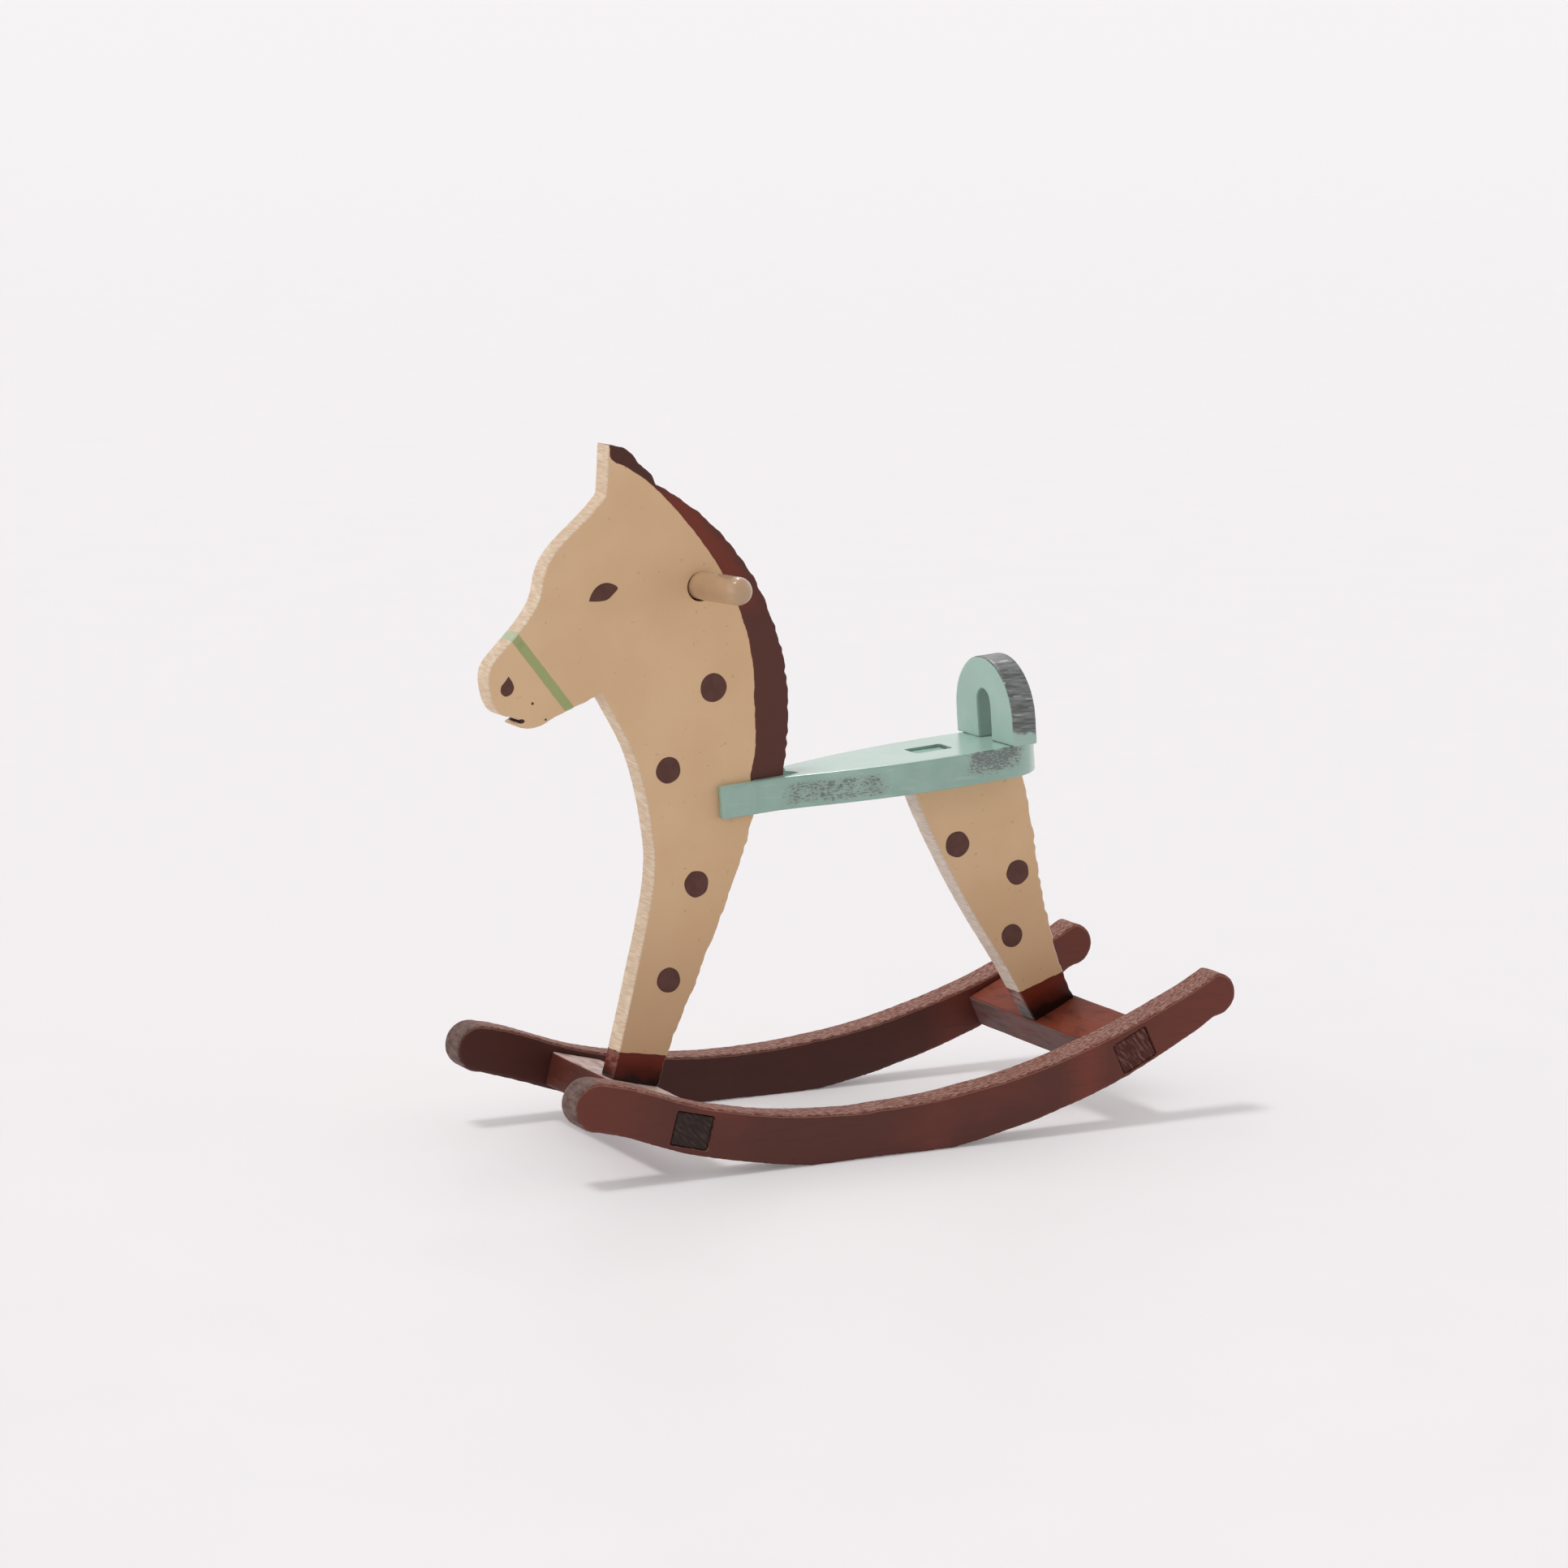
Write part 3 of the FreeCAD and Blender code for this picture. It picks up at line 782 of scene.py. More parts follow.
def past_mane_border(paint):
    """How far a place is towards the back of the mane's border."""
    curve = paint.node("ShaderNodeFloatCurve")
    line = curve.mapping.curves[0]
    (low, high), (left, right) = MANE_UP, MANE_ALONG
    knots = [((up - low) / (high - low), (along - left) / (right - left)) for up, along in MANE]
    line.points[0].location = (0.0, knots[0][1])
    line.points[-1].location = (1.0, knots[-1][1])
    for knot in knots:
        line.points.new(*knot)
    for point in line.points:
        point.handle_type = "AUTO_CLAMPED"
    curve.mapping.update()
    up = paint.math("SUBTRACT", paint.z, head_low.z + low)
    paint.join(paint.math("DIVIDE", up, high - low), curve.inputs["Value"])
    border = paint.math("MULTIPLY_ADD", curve.outputs[0], right - left, head_low.x + left)
    past = paint.math("SUBTRACT", paint.x, border)
    return paint.math("ADD", past, paint.wobble(0.25, 1.5, 2.0))


# Distances past the mane's border, and heights above the foot.
MANE_EDGE = (0.0, 0.14)
MANE_FOOT = (55.6, 55.8)
MANE_RED_UP = (88.0, 109.0, 2.5)
MANE_RED_ENDS = (1.5, 7.0)
MANE_RED_PATCHES = (0.15, 0.5)
MANE_RIM = (0.15, 0.5)
EAR_UP = (109.5, 111.5)


def mane(paint, colour):
    """The brown mane: redder under the ear, dark on the ear and down the neck."""
    up = paint.math("SUBTRACT", paint.z, head_low.z)
    past = past_mane_border(paint)
    mask = paint.times(paint.step(past, *MANE_EDGE), paint.step(up, *MANE_FOOT))
    patch = paint.step(paint.noise(4.0, offset=31.0), *MANE_RED_PATCHES)
    thin = paint.falls(past, *MANE_RED_ENDS)
    brown = paint.cover(BROWN, BROWN_RED, paint.band(up, *MANE_RED_UP), patch, thin)
    brown = paint.cover(brown, BROWN_DARK, paint.step(up, *EAR_UP), share=0.5)
    brown = paint.cover(brown, BROWN_RED, paint.falls(past, *MANE_RIM), share=0.4)
    return paint.mix(mask, colour, brown), mask


NOSEBAND = ((6.3, 83.5), (15.0, 72.3))
NOSEBAND_HALF = (0.8, 1.0)
NOSEBAND_OVERRUN = (4.0, 1.0, 0.1)  # before its start, past its end, and how soft these are
NOSEBAND_CORNER = (-0.8, 0.3, 0.3)
NOSEBAND_CORNER_HALF = (0.3, 0.9)
NOSEBAND_CORNER_SHARE = 0.2


def noseband(paint, colour, edge):
    """A green line across the muzzle that runs on, thinner, over the board's front edge."""
    (start_x, start_z), (end_x, end_z) = (on_head(*place) for place in NOSEBAND)
    run = Vector((end_x - start_x, 0, end_z - start_z))
    length = run.length
    run.normalize()
    square = run.cross(Y_AXIS)
    from_start = paint.vector("SUBTRACT", paint.place, (start_x, 0.0, start_z))
    along = paint.vector("DOT_PRODUCT", from_start, tuple(run))
    off = paint.math("ABSOLUTE", paint.vector("DOT_PRODUCT", from_start, tuple(square)))
    off = paint.math("ADD", off, paint.wobble(0.12, 1.2, 71.0))
    before, after, soft = NOSEBAND_OVERRUN
    ends = paint.band(along, -before, length + after, soft)
    tone = paint.mix(edge, GREEN, GREEN_PALE)
    corner = paint.times(paint.band(along, *NOSEBAND_CORNER), paint.falls(off, *NOSEBAND_CORNER_HALF))
    tone = paint.cover(tone, GREEN_DARK, corner, NOSEBAND_CORNER_SHARE, paint.reverse(edge))
    return paint.cover(colour, tone, paint.falls(off, *NOSEBAND_HALF), ends, share=0.85)


MOUTH = (6.1, 70.2)
MOUTH_SIZE = (0.7, 0.4)
MOUTH_EDGE = (0.85, 1.05)


def mouth(paint, colour):
    """Dark paint in the corner of the mouth."""
    x, z = on_head(*MOUTH)
    from_middle = paint.vector("SUBTRACT", paint.place, (x, 0.0, z))
    scaled = paint.vector("MULTIPLY", from_middle, (1 / MOUTH_SIZE[0], 0.0, 1 / MOUTH_SIZE[1]))
    reach = paint.math("ADD", paint.vector("LENGTH", scaled), paint.wobble(0.25, 0.8, 81.0))
    return paint.cover(colour, BROWN_DARK, paint.falls(reach, *MOUTH_EDGE))


def front_paint():
    """The head board: cream, with a brown mane, a green noseband and a dipped hoof."""
    paint = Paint("cream_front")
    colour, height, edge = horse_base(paint, SAWN)
    colour, mane_mask = mane(paint, colour)
    colour = mouth(paint, noseband(paint, colour, edge))
    colour, hoof_mask = hoof(paint, colour, edge, *(on_head(*place) for place in FRONT_HOOF))
    raised = paint.math("MAXIMUM", mane_mask, hoof_mask)
    return horse_finish(paint, colour, height, raised, hoof_mask)


TENON_PAINT = (-3.0, -2.9)  # heights over the seat's top


def rear_paint():
    """The rear leg: cream with a dipped hoof, and teal on the tenon that shows in the seat."""
    paint = Paint("cream_rear")
    colour, height, edge = horse_base(paint, SAWN_GREYED)
    colour, hoof_mask = hoof(paint, colour, edge, *(on_leg(*place) for place in REAR_HOOF))
    level = paint.vector("DOT_PRODUCT", paint.place, tuple(seat_up))
    colour = paint.cover(colour, TEAL, paint.step(level, *(seat_top + over for over in TENON_PAINT)))
    return horse_finish(paint, colour, height, hoof_mask, hoof_mask)


ENAMEL_CLOUDS = (0.35, 0.7)


def spot_paint():
    """Thick brown enamel, a little uneven."""
    paint = Paint("brown_enamel")
    colour = paint.mix(paint.step(paint.noise(2.4, detail=3.0), *ENAMEL_CLOUDS), *ENAMEL)
    return paint.finish(colour, 0.42, paint.noise(0.5), 0.03, specular=0.4)


BLOB_LEVELS = [(-0.05, 1.0), (0.02, 1.0), (0.05, 0.975), (0.065, 0.93), (0.07, 0.8)]  # height, scale


def blob(outline, face, outward):
    """A thin drop of paint on a board's face, as points and the faces that close it."""
    centre = outline.mean()
    levels = [(BLOB_LEVELS[0][0], 0.0), *BLOB_LEVELS, (BLOB_LEVELS[-1][0], 0.0)]
    points = []
    for height, scale in levels:
        ring = centre + (outline - centre) * scale
        y = np.full(len(ring), face + outward * height * MM)
        points.append(np.stack([ring.real, y, ring.imag], 1))
    return np.concatenate(points), grid_faces(len(levels), len(outline), 0)


def painted(name, outlines, material):
    """The same painted marks on both faces of the boards, as one piece of paint."""
    points, quads, start = [], [], 0
    for outline in outlines:
        for outward in (-1, 1):
            place, ring_quads = blob(outline, outward * head_high.y * MM, outward)
            points.append(place)
            quads.append(ring_quads + start)
            start += len(place)
    piece = new_piece(name, np.concatenate(points), quads, [], {})
    piece.data.materials.append(material)


# Spots as their distance from the board's front, height above its foot, and diameter.
HEAD_SPOTS = [
    (43.6, 73.7, 5.2), (34.6, 59.4, 4.8), (40.1, 38.3, 4.8),
    (34.5, 21.2, 4.6), (8.3, 73.2, 0.5), (10.8, 70.2, 0.4),
]
LEG_SPOTS = [(9.6, 36.5, 4.9), (22.4, 30.2, 4.7), (21.3, 18.3, 4.4)]
SPOT_WAVES = (2, 3, 5, 7)
SPOT_UNEVENNESS = 0.008  # of the spot's diameter, for each wave
SPOT_SEED = 40
MARK_POINTS = 72


def round_spot(place, diameter, seed):
    """A dabbed round spot with a slightly uneven outline."""
    angle = np.linspace(0, 2 * math.pi, MARK_POINTS, endpoint=False)
    draw = np.random.default_rng(seed)
    radius = np.full(len(angle), diameter / 2)
    for lobes in SPOT_WAVES:
        size = draw.uniform(-SPOT_UNEVENNESS, SPOT_UNEVENNESS) * diameter
        radius += size * np.cos(lobes * angle + draw.uniform(0, 2 * math.pi))
    return (complex(*place) + radius * np.exp(1j * angle)) * MM


EYE = [
    (19.3, 90.6), (19.6, 91.5), (20.4, 92.7), (21.5, 93.5), (23.0, 93.7),
    (24.9, 92.6), (24.1, 91.7), (22.8, 90.7), (21.4, 90.5),
]
NOSTRIL = [
    (3.8, 78.3), (4.5, 77.2), (4.8, 76.2), (4.2, 75.1),
    (3.1, 74.8), (2.3, 75.5), (2.4, 76.6), (3.1, 77.4),
]


def mark(places):
    """A smooth closed outline through a few places on the head board."""
    closed = np.array([complex(*on_head(*place)) for place in places + places[:1]])
    length = np.abs(np.diff(closed)).sum()
    return smooth_run(closed, length / MARK_POINTS)[:-1] * MM


def horse():
    """The head board, the rear leg and what is painted on them."""
    front = board("sawn_head_board", "head_board", -Y_AXIS, Z_AXIS, BOARD_FINISH, HEAD_GAP)
    rear = board("sawn_rear_leg", "rear_leg", -Y_AXIS, Z_AXIS, BOARD_FINISH)
    front.data.materials.append(front_paint())
    rear.data.materials.append(rear_paint())
    enamel = spot_paint()
    spots = [(on_head(along, up), size) for along, up, size in HEAD_SPOTS]
    spots += [(on_leg(along, up), size) for along, up, size in LEG_SPOTS]
    outlines = [round_spot(*spot, SPOT_SEED + order) for order, spot in enumerate(spots)]
    painted("painted_spots", outlines, enamel)
    painted("painted_eyes", [mark(EYE)], enamel)
    painted("painted_nostrils", [mark(NOSTRIL)], enamel)


# ---------------------------------------------------------------- the handle
HANDLE_TONES = (linear(182, 150, 118), linear(192, 158, 124))
DOWEL_SIDES = 56
DOWEL_ROWS = 60
END_ROWS = 12
END_POWER = 2.3  # a round end would be 2
LUMP_WAVE = (4 * MM, 4 * MM)
LUMPINESS = 0.012


def turned(name, node):
    """A dowel again, its ends rounded over and its surface a little lumpy."""
    points = node_points(node)
    middle = points.mean(0)
    axis = Vector(np.linalg.svd(points - middle)[2][0])
    if axis.y < 0:
        axis = -axis
    low, high = span(points, axis)
    side = axis.cross(Z_AXIS).normalized()
    rise = side.cross(axis)
    radius = max(abs(value) for value in span(points - middle, side))
    straight = (high - low) / 2 - radius
    turn = np.linspace(0, 2 * math.pi, DOWEL_SIDES, endpoint=False)
    end = np.sin(np.linspace(0, math.pi / 2, END_ROWS)) * radius
    body = np.linspace(-straight, straight, DOWEL_ROWS)[1:-1]
    places = np.concatenate([-straight - end[::-1], body, straight + end])
    over = np.clip((np.abs(places) - straight) / radius, 0, 1)
    widths = radius * (1 - over**END_POWER) ** (1 / END_POWER)
    along, around = np.meshgrid(places - places.min(), turn, indexing="ij")
    lumps = ripple(around * radius, along, 2 * math.pi * radius, LUMP_WAVE, SEEDS[node])
    widths = widths[:, None] * (1 + LUMPINESS * lumps)
    centre = middle + np.array(axis) * ((low + high) / 2 - middle @ np.array(axis))
    parts = (places[:, None], widths * np.cos(around), widths * np.sin(around))
    place = centre + in_space(parts, (axis, side, rise))
    quads = grid_faces(len(places), len(turn), 0)
    return new_piece(name, place.reshape(-1, 3), [quads], [], {}, [node])


def handle():
    """The dowel through the head, its paint glossy."""
    piece = turned("turned_handle", "handle_dowel")
    paint = Paint("cream_gloss")
    colour = paint.mix(paint.step(paint.noise(5.0, detail=3.0), *CLOUDS), *HANDLE_TONES)
    gloss = paint.finish(colour, 0.4, paint.noise(1.5), 0.03, specular=0.3, coat=0.6, coat_roughness=0.04)
    piece.data.materials.append(gloss)


# ---------------------------------------------------------------- the seat
BRUSH_MARKS = (0.55, 0.75)


def teal_base(paint):
    """Brushed teal paint. Returns colour and height."""
    colour = paint.mix(paint.step(paint.noise(8.0, detail=3.0), *CLOUDS), TEAL, TEAL_DEEP)
    brush = paint.noise(0.8, stretch=(9, 1, 1), offset=4.0)
    return paint.cover(colour, TEAL_PALE, paint.step(brush, *BRUSH_MARKS), share=0.25), brush


def glossy_teal(paint, colour, height):
    """The seat's glossy finish."""
    return paint.finish(colour, 0.26, height, 0.015, specular=1.0)


# Distances behind the seat's front, and depths below its top.
REAR_RUB = (46.5, 59.5, 3.0)
REAR_RUB_DEPTH = (2.0, 7.0)
REAR_RUB_SHARE = 1.1
FRONT_RUB = (12.0, 32.0, 3.0)
FRONT_RUB_DEPTH = (1.0, 5.6, 0.9)
FRONT_RUB_SHARE = 0.85
RUB_PATCHES = (0.05, 0.55)
SEAT_EDGE = (0.3, 0.7)


def seat_rubbing(paint):
    """Where the seat's edge is rubbed: hard near the rear, lightly near the head."""
    depth = paint.math("SUBTRACT", seat_top, paint.vector("DOT_PRODUCT", paint.place, tuple(seat_up)))
    along = paint.math("SUBTRACT", paint.x, plank_low.x)
    upper = paint.falls(depth, *REAR_RUB_DEPTH)
    rear = paint.times(paint.band(along, *REAR_RUB), upper, REAR_RUB_SHARE)
    middle = paint.band(depth, *FRONT_RUB_DEPTH)
    front = paint.times(paint.band(along, *FRONT_RUB), middle, FRONT_RUB_SHARE)
    rubbing = paint.math("MAXIMUM", rear, front)
    patch = paint.step(paint.noise(2.2, detail=3.0, offset=17.0), *RUB_PATCHES)
    return paint.times(rubbing, patch, paint.step(paint.attribute("side"), *SEAT_EDGE))


PAINTED_LIGHT_END = (-5.0, -0.5)  # distances behind the seat's rear end, over which painted light pales it
# upward-facing paint, paled as a painted sheen
PAINTED_SHEEN_TOP = (0.6, 0.9)
PAINTED_SHEEN_SHARE = 0.5
RUBBED_GREY = (0.35, 1.0)
SPECK_LEVEL = 0.80  # noise above this makes a speck, and above less where the seat is rubbed
SPECK_GAIN = -0.37
SPECK_EDGE = (0.0, 0.08)


def seat_paint():
    """Teal, paler on top with painted sheen; small grey specks where the edge is rubbed; a rear end paler
    with painted light.
    """
    paint = Paint("teal_seat")
    colour, height = teal_base(paint)
    # painted light: the rounded rear end, which faces the light, made paler and near-white
    painted_light_end = paint.step(paint.x, *(plank_high.x + behind for behind in PAINTED_LIGHT_END))
    # painted sheen: the top-facing paint made paler, for the bright room reflected in it
    painted_sheen = paint.times(paint.step(upward(paint), *PAINTED_SHEEN_TOP), PAINTED_SHEEN_SHARE)
    colour = paint.mix(paint.math("MAXIMUM", painted_light_end, painted_sheen), colour, TEAL_PALE)
    colour = paint.cover(colour, PAINTED_LIGHT_PALE, painted_light_end, share=0.6)
    grit = paint.noise(0.34, stretch=(2, 1, 0.8), detail=4.0, roughness=0.6, offset=9.0)
    rubbing = seat_rubbing(paint)
    limit = paint.math("MULTIPLY_ADD", rubbing, SPECK_GAIN, SPECK_LEVEL)
    worn = paint.step(paint.math("SUBTRACT", grit, limit), *SPECK_EDGE)
    colour = paint.cover(colour, GREY_WEAR, paint.step(rubbing, *RUBBED_GREY), share=0.45)
    speck = paint.mix(paint.noise(0.6, detail=3.0, offset=30.0), SPECK_DARK, GREY_DARK)
    colour = paint.cover(colour, speck, worn, share=0.75)
    return glossy_teal(paint, colour, paint.math("SUBTRACT", height, worn))


# how much paler the seat back's teal is painted, as painted light
BACK_PAINTED_LIGHT_SHARE = 0.45
BACK_EDGE = (0.45, 0.85)
SLOT_HALF = (3.4, 3.8)
SLOT_TOP = (-4.4, -4.0)  # under the arch's top
ARCH_WEAR_UP = (0.5, 7.0)  # heights above the arch's foot
ARCH_WEAR = (0.75, 0.95)
ARCH_GREYS = (0.36, 0.76)
SCRATCHES = (0.66, 0.72)


def back_paint():
    """The seat back: teal faces made paler with painted light, an arch rubbed down to grey streaks across
    its thickness, and painted shade on the slot's walls.
    """
    paint = Paint("teal_back")
    colour, height = teal_base(paint)
    # painted light: the whole seat back paler than the seat, for the brighter light on its front
    colour = paint.mix(BACK_PAINTED_LIGHT_SHARE, colour, TEAL_PALE)
    streak = paint.noise(0.5, stretch=(9, 1.5, 1), detail=3.0, roughness=0.6, offset=13.0)
    patch = paint.noise(2.4, detail=3.0, offset=23.0)
    side = paint.step(paint.attribute("side"), *BACK_EDGE)
    beside_slot = paint.step(paint.math("ABSOLUTE", paint.y), *SLOT_HALF)
    above_slot = paint.step(paint.z, *(arch_high.z + over for over in SLOT_TOP))
    outer = paint.math("MAXIMUM", beside_slot, above_slot)
    upper = paint.step(paint.z, *(arch_low.z + height_up for height_up in ARCH_WEAR_UP))
    rub = paint.math("ADD", paint.times(upper, 1.2), paint.times(patch, 0.7))
    rub = paint.math("ADD", rub, paint.times(streak, 0.5))
    worn = paint.times(paint.step(rub, *ARCH_WEAR), side, outer)
    grey = paint.mix(paint.step(streak, *ARCH_GREYS), GREY_DARK, GREY_WEAR)
    scratch = paint.noise(0.42, stretch=(12, 1.2, 1), offset=43.0)
    grey = paint.cover(grey, GREY_PALE, paint.step(scratch, *SCRATCHES))
    colour = paint.mix(worn, colour, grey)
    # painted shade: the walls inside the slot darkened
    colour = paint.cover(colour, GREY_DARK, side, paint.reverse(outer), share=0.4)
    return paint.finish(colour, 0.42, paint.math("SUBTRACT", height, worn), 0.03, specular=0.5)


FILLET_BEHIND = -0.8  # from the head board's rear
FILLET_LENGTH = 3.0
FILLET_HEIGHT = 1.3
FILLET_SUNK = 0.3
FILLET_STEPS = 9
FILLET_ROWS = ((-0.9, 0.8), (-0.97, 1.0), (0.97, 1.0), (0.9, 0.8))  # place across, share of the size


def fillet():
    """Glue and paint pooled in the corner behind the mane, where it meets the seat."""
    corner_x = head_high.x + FILLET_BEHIND
    corner_z = (seat_top - corner_x * seat_up.x) / seat_up.z
    turn = np.linspace(0, math.pi / 2, FILLET_STEPS)
    along = np.append(FILLET_LENGTH * (1 - np.sin(turn)), [-FILLET_SUNK, -FILLET_SUNK, FILLET_LENGTH])
    up = np.append(FILLET_HEIGHT * (1 - np.cos(turn)), [FILLET_HEIGHT, -FILLET_SUNK, -FILLET_SUNK])
    x = along * seat_along.x + up * seat_up.x
    z = along * seat_along.z + up * seat_up.z
    rows = [
        np.stack([corner_x + x * share, np.full(len(x), head_high.y * y), corner_z + z * share], 1)
        for y, share in FILLET_ROWS
    ]
    piece = new_piece("glue_fillet", np.concatenate(rows) * MM, *closed_sleeve(len(rows), len(x)), {})
    paint = Paint("teal_pool")
    piece.data.materials.append(glossy_teal(paint, *teal_base(paint)))


def seat():
    """The seat board and the arched board across its rear."""
    plank = board("seat", "seat_board", seat_up, Y_AXIS, PLANK_FINISH, SEAT_GAP)
    arch = board("arched_back", "seat_back", -seat_along, seat_up, ARCH_FINISH)
    plank.data.materials.append(seat_paint())
    arch.data.materials.append(back_paint())


# ---------------------------------------------------------------- rockers and crossbars
STAIN = linear(88, 46, 38)
STAIN_RED = linear(116, 56, 44)
STAIN_DARK = linear(66, 38, 33)
# painted shade on the rockers' inner faces
INNER_PAINTED_SHADE = linear(70, 37, 32)
# rubbed wood, also standing in for painted sheen on the tops
STAIN_RUBBED_AND_SHEEN = linear(178, 140, 126)
# painted highlight on the rockers' rounded upper rims
STAIN_RIM_HIGHLIGHT = linear(190, 142, 122)
STAIN_TIP = linear(124, 106, 98)

# Distances behind the rocker's front end.
RED_REAR = (89.8, 126.8)
RED_BAND = (98.8, 105.8, 4.0)
RED_FRONT_ENDS = (6.0, 22.0)
INNER_SHADE_ENDS = (79.8, 119.8)
TIP_ENDS = (2.0, 8.0)

RED_CLOUDS = (0.45, 0.75)
RED_SHARE = 0.75
RED_FRONT_SHARE = 0.6
ROCKER_GRAIN = (0.5, 0.8)
INNER_FACE = (0.5, 1.0)  # out from the rocker's inner face
ROCKER_EDGE = (0.72, 0.95)
RUBBED_AND_SHEEN_SLOPE = (-0.1, 0.5)
RUBBED_STREAKS = (0.36, 0.68)
RIM_HIGHLIGHT_BAND = (0.45, 0.68, 0.08)
RIM_HIGHLIGHT_SLOPE = (0.15, 0.5)
TIP_GRIT = (0.1, 0.9)


def rocker_stain(paint, along, inner_face):
    """Red-brown stain on the faces, redder towards the ends, with painted shade on the inner faces."""
    cloud = paint.noise(16.0, stretch=(1.6, 1, 1), detail=3.0)
    red = paint.math("MAXIMUM", paint.step(cloud, *RED_CLOUDS), paint.step(along, *RED_REAR))
    red = paint.math("MAXIMUM", paint.times(red, RED_SHARE), paint.band(along, *RED_BAND))
    front = paint.times(paint.falls(along, *RED_FRONT_ENDS), RED_FRONT_SHARE)
    colour = paint.mix(paint.math("MAXIMUM", red, front), STAIN, STAIN_RED)
    grain = paint.noise(0.5, stretch=(14, 1, 1), detail=3.0, offset=6.0)
    colour = paint.cover(colour, STAIN_DARK, paint.step(grain, *ROCKER_GRAIN), share=0.25)
    # painted shade: the inner faces, which face each other under the horse, darker except near the rear
    from_inside = paint.math("SUBTRACT", paint.math("ABSOLUTE", paint.y), inner_face)
    painted_shade_inside = paint.falls(from_inside, *INNER_FACE)
    middle = paint.falls(along, *INNER_SHADE_ENDS)
    return paint.cover(colour, INNER_PAINTED_SHADE, painted_shade_inside, middle, share=0.85), grain


def rocker_paint(name, front_x, inner_face):
    """Stained faces; rough upper edges paler, rubbed and with painted sheen; a painted highlight along the
    upper rims; front tips worn grey.
    """
    paint = Paint(name)
    along = paint.math("SUBTRACT", paint.x, front_x)
    colour, grain = rocker_stain(paint, along, inner_face)
    side = paint.attribute("side")
    edge = paint.step(paint.math("ADD", side, paint.wobble(0.25, 1.1, 15.0)), *ROCKER_EDGE)
    above = upward(paint)
    streak = paint.noise(0.36, stretch=(3, 1, 1), detail=3.0, roughness=0.6, offset=25.0)
    # the pale on upward edges is rubbed wood and also painted sheen of the grazing light
    tone = paint.mix(paint.step(streak, *RUBBED_STREAKS), STAIN_RED, STAIN_RUBBED_AND_SHEEN)
    colour = paint.cover(colour, tone, edge, paint.step(above, *RUBBED_AND_SHEEN_SLOPE), share=0.85)
    # painted highlight: a pale line along the rounded upper rims, over slightly worn wood
    rim = paint.times(paint.band(side, *RIM_HIGHLIGHT_BAND), paint.step(above, *RIM_HIGHLIGHT_SLOPE))
    colour = paint.cover(colour, STAIN_RIM_HIGHLIGHT, rim, share=0.5)
    grit = paint.noise(1.0, stretch=(1, 2.5, 1), detail=4.0, offset=35.0)
    worn = paint.mix(paint.step(grit, *TIP_GRIT), STAIN_DARK, STAIN_TIP)
    colour = paint.cover(colour, worn, paint.falls(along, *TIP_ENDS), edge, share=0.9)
    rough = paint.math("MULTIPLY_ADD", edge, 0.3, 0.45)
    height = paint.math("ADD", paint.times(streak, edge, 0.7), paint.times(grain, 0.3))
    return paint.finish(colour, rough, height, RELIEF, specular=0.25)


# How each crossbar looks on its top, its upright faces and its tenons' ends.
FRONT_BAR = {
    "top": linear(206, 178, 168),
    "top_share": 0.9,
    "face": linear(76, 37, 27),
    "face_share": 0.8,
    "ends": (linear(40, 26, 23), linear(66, 47, 41)),
    "specular": 0.25,
}
REAR_BAR = {
    "top": linear(144, 70, 50),
    "top_share": 0.7,
    # grey on the upright faces: worn wood with a painted reflection of the pale room
    "face": linear(118, 102, 100),
    "face_share": 0.65,
    "ends": (linear(78, 44, 40), linear(124, 84, 76)),
    "specular": 0.08,
}
BAR_GRAIN = (0.45, 0.75)
BAR_TOP = (0.6, 0.9)
BAR_WEAR = (0.2, 0.55)
BAR_FACE = (-0.5, 0.5, 0.1)
BAR_FACE_STREAKS = (0.1, 0.6)
BAR_ENDS = (-0.4, -0.2)  # out from the tenon's tip
FIBRES = (0.42, 0.72)
FIBRES_ACROSS = 1.6  # to the millimetre
FIBRES_ALONG = 0.3


def end_grain(paint):
    """Fibres that run slantwise over the cut ends of a bar."""
    across = paint.times(paint.math("ADD", paint.x, paint.z), FIBRES_ACROSS)
    along = paint.times(paint.math("SUBTRACT", paint.x, paint.z), FIBRES_ALONG)
    joined = paint.node("ShaderNodeCombineXYZ")
    fibre = paint.node("ShaderNodeTexNoise", noise_dimensions="2D")
    paint.join(across, joined.inputs[0])
    paint.join(along, joined.inputs[1])
    paint.join(joined.outputs[0], fibre.inputs["Vector"])
    paint.join(1.0, fibre.inputs["Scale"])
    paint.join(3.0, fibre.inputs["Detail"])
    return paint.step(fibre.outputs["Fac"], *FIBRES)


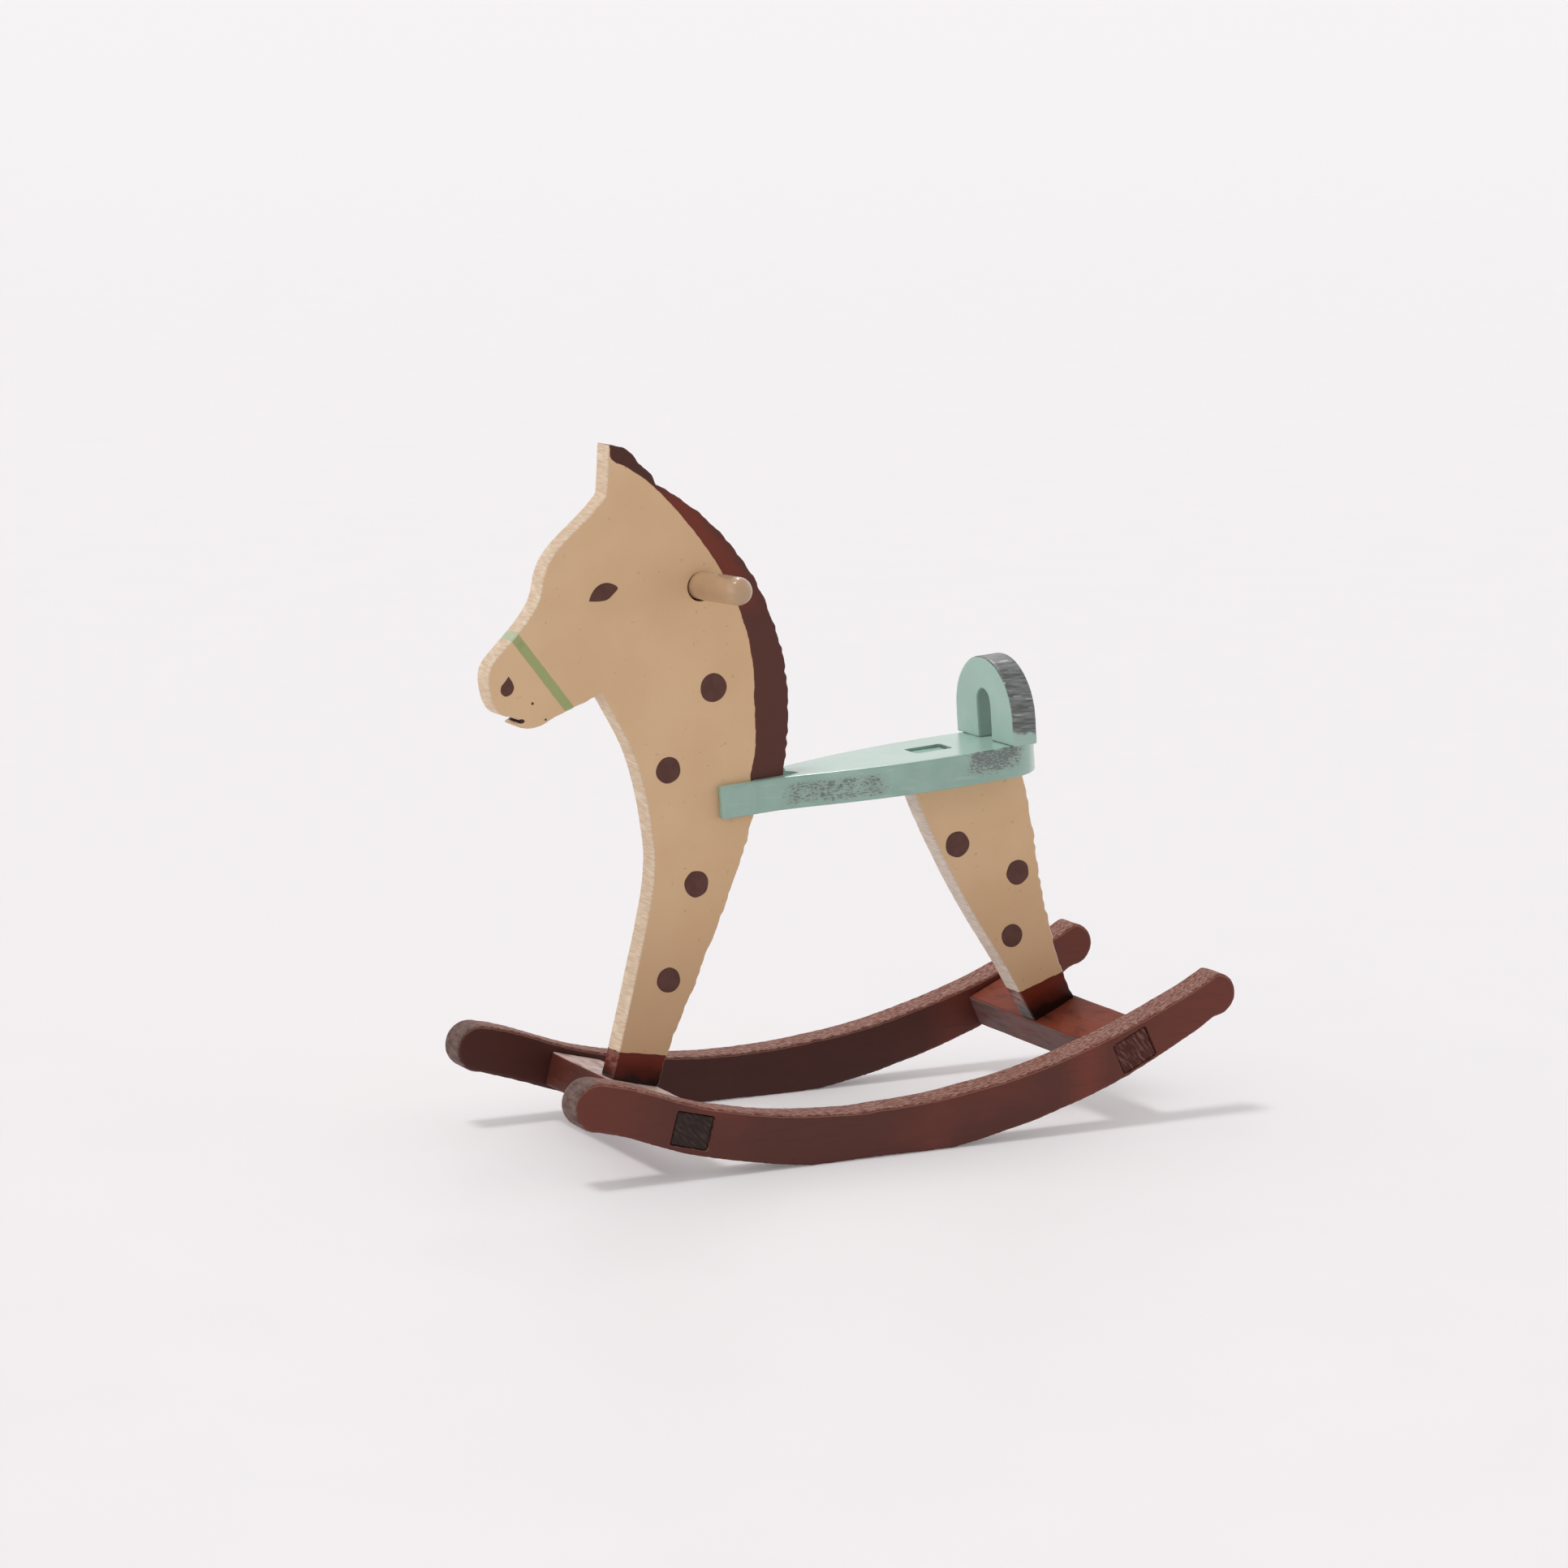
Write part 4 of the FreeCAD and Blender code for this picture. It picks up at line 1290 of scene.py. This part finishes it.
def bar_paint(name, tip, looks):
    """The same stain on a crossbar, with open end grain on its tenons."""
    paint = Paint(name)
    colour = paint.mix(paint.step(paint.noise(9.0, detail=3.0), *CLOUDS), STAIN, STAIN_RED)
    grain = paint.noise(0.5, stretch=(1, 12, 1), detail=3.0, offset=6.0)
    colour = paint.cover(colour, STAIN_DARK, paint.step(grain, *BAR_GRAIN), share=0.4)
    above = upward(paint)
    wear = paint.step(paint.noise(2.0, stretch=(1, 3, 1), detail=4.0, offset=12.0), *BAR_WEAR)
    colour = paint.cover(colour, looks["top"], paint.step(above, *BAR_TOP), wear, looks["top_share"])
    streak = paint.step(paint.noise(1.2, stretch=(1, 6, 1), detail=4.0, offset=52.0), *BAR_FACE_STREAKS)
    # the upright faces' tone; on the rear bar it is partly a painted reflection
    colour = paint.cover(colour, looks["face"], paint.band(above, *BAR_FACE), streak, looks["face_share"])
    ends = paint.step(paint.math("ABSOLUTE", paint.y), *(tip + out for out in BAR_ENDS))
    fibres = end_grain(paint)
    colour = paint.mix(ends, colour, paint.mix(fibres, *looks["ends"]))
    height = paint.math("ADD", paint.times(grain, 0.5), paint.times(fibres, ends, 0.5))
    return paint.finish(colour, 0.5, height, RELIEF, specular=looks["specular"])


SIDE_STEPS = 24
CORNER_STEPS = 4


def rounded_rectangle(width, depth, radius):
    """A rounded rectangle round zero, counter-clockwise, always with the same number of points."""
    bends = []
    corners = [(1, -1, -math.pi / 2), (1, 1, 0), (-1, 1, math.pi / 2), (-1, -1, math.pi)]
    for across, up, begin in corners:
        centre = complex(across * (width / 2 - radius), up * (depth / 2 - radius))
        angle = begin + np.linspace(0, math.pi / 2, CORNER_STEPS + 1)
        bends.append(centre + radius * np.exp(1j * angle))
    outline = []
    for bend, following in zip(bends, bends[1:] + bends[:1]):
        outline.append(bend)
        outline.append(np.linspace(bend[-1], following[0], SIDE_STEPS + 1)[1:-1])
    return np.concatenate(outline)


def section(points, along, up, rounding):
    """The rounded rectangle that bounds some points, seen along the bar."""
    (left, right), (bottom, top) = span(points, along), span(points, up)
    centre = complex(left + right, bottom + top) / 2
    return centre + rounded_rectangle(right - left, top - bottom, rounding)


PLANK_ROUNDING = 0.45 * MM
TENON_ROUNDING = 0.25 * MM
PLANK_ROW = 0.5 * MM
TENON_ROWS = 15
TIP_SHARES = (0.05, 0.3, 0.5, 0.7, 0.85, 0.96)  # rings that close a tenon's end
TIP_RIM = 0.2 * MM
TIP_DEPTH = 0.1 * MM  # points this close to the tip show the tenon's outline
SIDE_DEPTH = 0.05 * MM  # and this close to the bar's side show where its shoulders are
BAR_WAVES = (((1.6 * MM, 5 * MM), 0.0, 0.035 * MM), ((0.5 * MM, 2 * MM), 0.0, 0.02 * MM))


def crossbar(end, looks):
    """A plank between the rockers, with a tenon at each end that shows in the rocker's face."""
    node = end + "_crossbar"
    points = node_points(node)
    up = facing(node, Z_AXIS)
    along = Y_AXIS.cross(up)
    reach = np.abs(points[:, 1]).max()
    widest = points @ np.array(along) > span(points, along)[1] - SIDE_DEPTH
    shoulder = np.abs(points[widest][:, 1]).max()
    plank = section(points, along, up, PLANK_ROUNDING)
    tenon = section(points[np.abs(points[:, 1]) > reach - TIP_DEPTH], along, up, TENON_ROUNDING)
    middle = tenon.mean()
    tip = [(reach, middle + (tenon - middle) * share, share) for share in TIP_SHARES]
    tip += [(y, tenon, 1.0) for y in np.linspace(reach - TIP_RIM, shoulder, TENON_ROWS)]
    plank_rows = round(2 * shoulder / PLANK_ROW)
    stations = tip + [(y, plank, 1.0) for y in np.linspace(shoulder, -shoulder, plank_rows)]
    stations += [(-y, ring, share) for y, ring, share in tip[::-1]]
    places, rings, shares = (np.array(column) for column in zip(*stations))
    outward = outward_of(plank)
    arc, length = along_of(plank)
    arc, depth = np.meshgrid(arc, reach - places)
    lift = waves(arc, depth, length, BAR_WAVES, SEEDS[node])
    rings = rings + outward[None, :] * lift * shares[:, None]
    place = in_space((rings.real, rings.imag, places[:, None]), (along, up, Y_AXIS))
    sleeve = closed_sleeve(*rings.shape)
    piece = new_piece(f"{end}_bar", place.reshape(-1, 3), *sleeve, {}, [node])
    piece.data.materials.append(bar_paint(f"stain_{end}_bar", reach / MM, looks))


def rocker(side):
    """One sawn rocker, with its rims sanded round and a gap round each tenon."""
    node = side + "_rocker"
    low, high = (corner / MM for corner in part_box(node))
    piece = board(f"sawn_{node}", node, -Y_AXIS, Z_AXIS, ROCKER_FINISH, ROCKER_GAP)
    piece.data.materials.append(rocker_paint(f"stain_{node}", low.x, min(abs(low.y), abs(high.y))))


photographer()
floor()
lights()
room()
horse()
handle()
seat()
fillet()
crossbar("front", FRONT_BAR)
crossbar("rear", REAR_BAR)
rocker("left")
rocker("right")
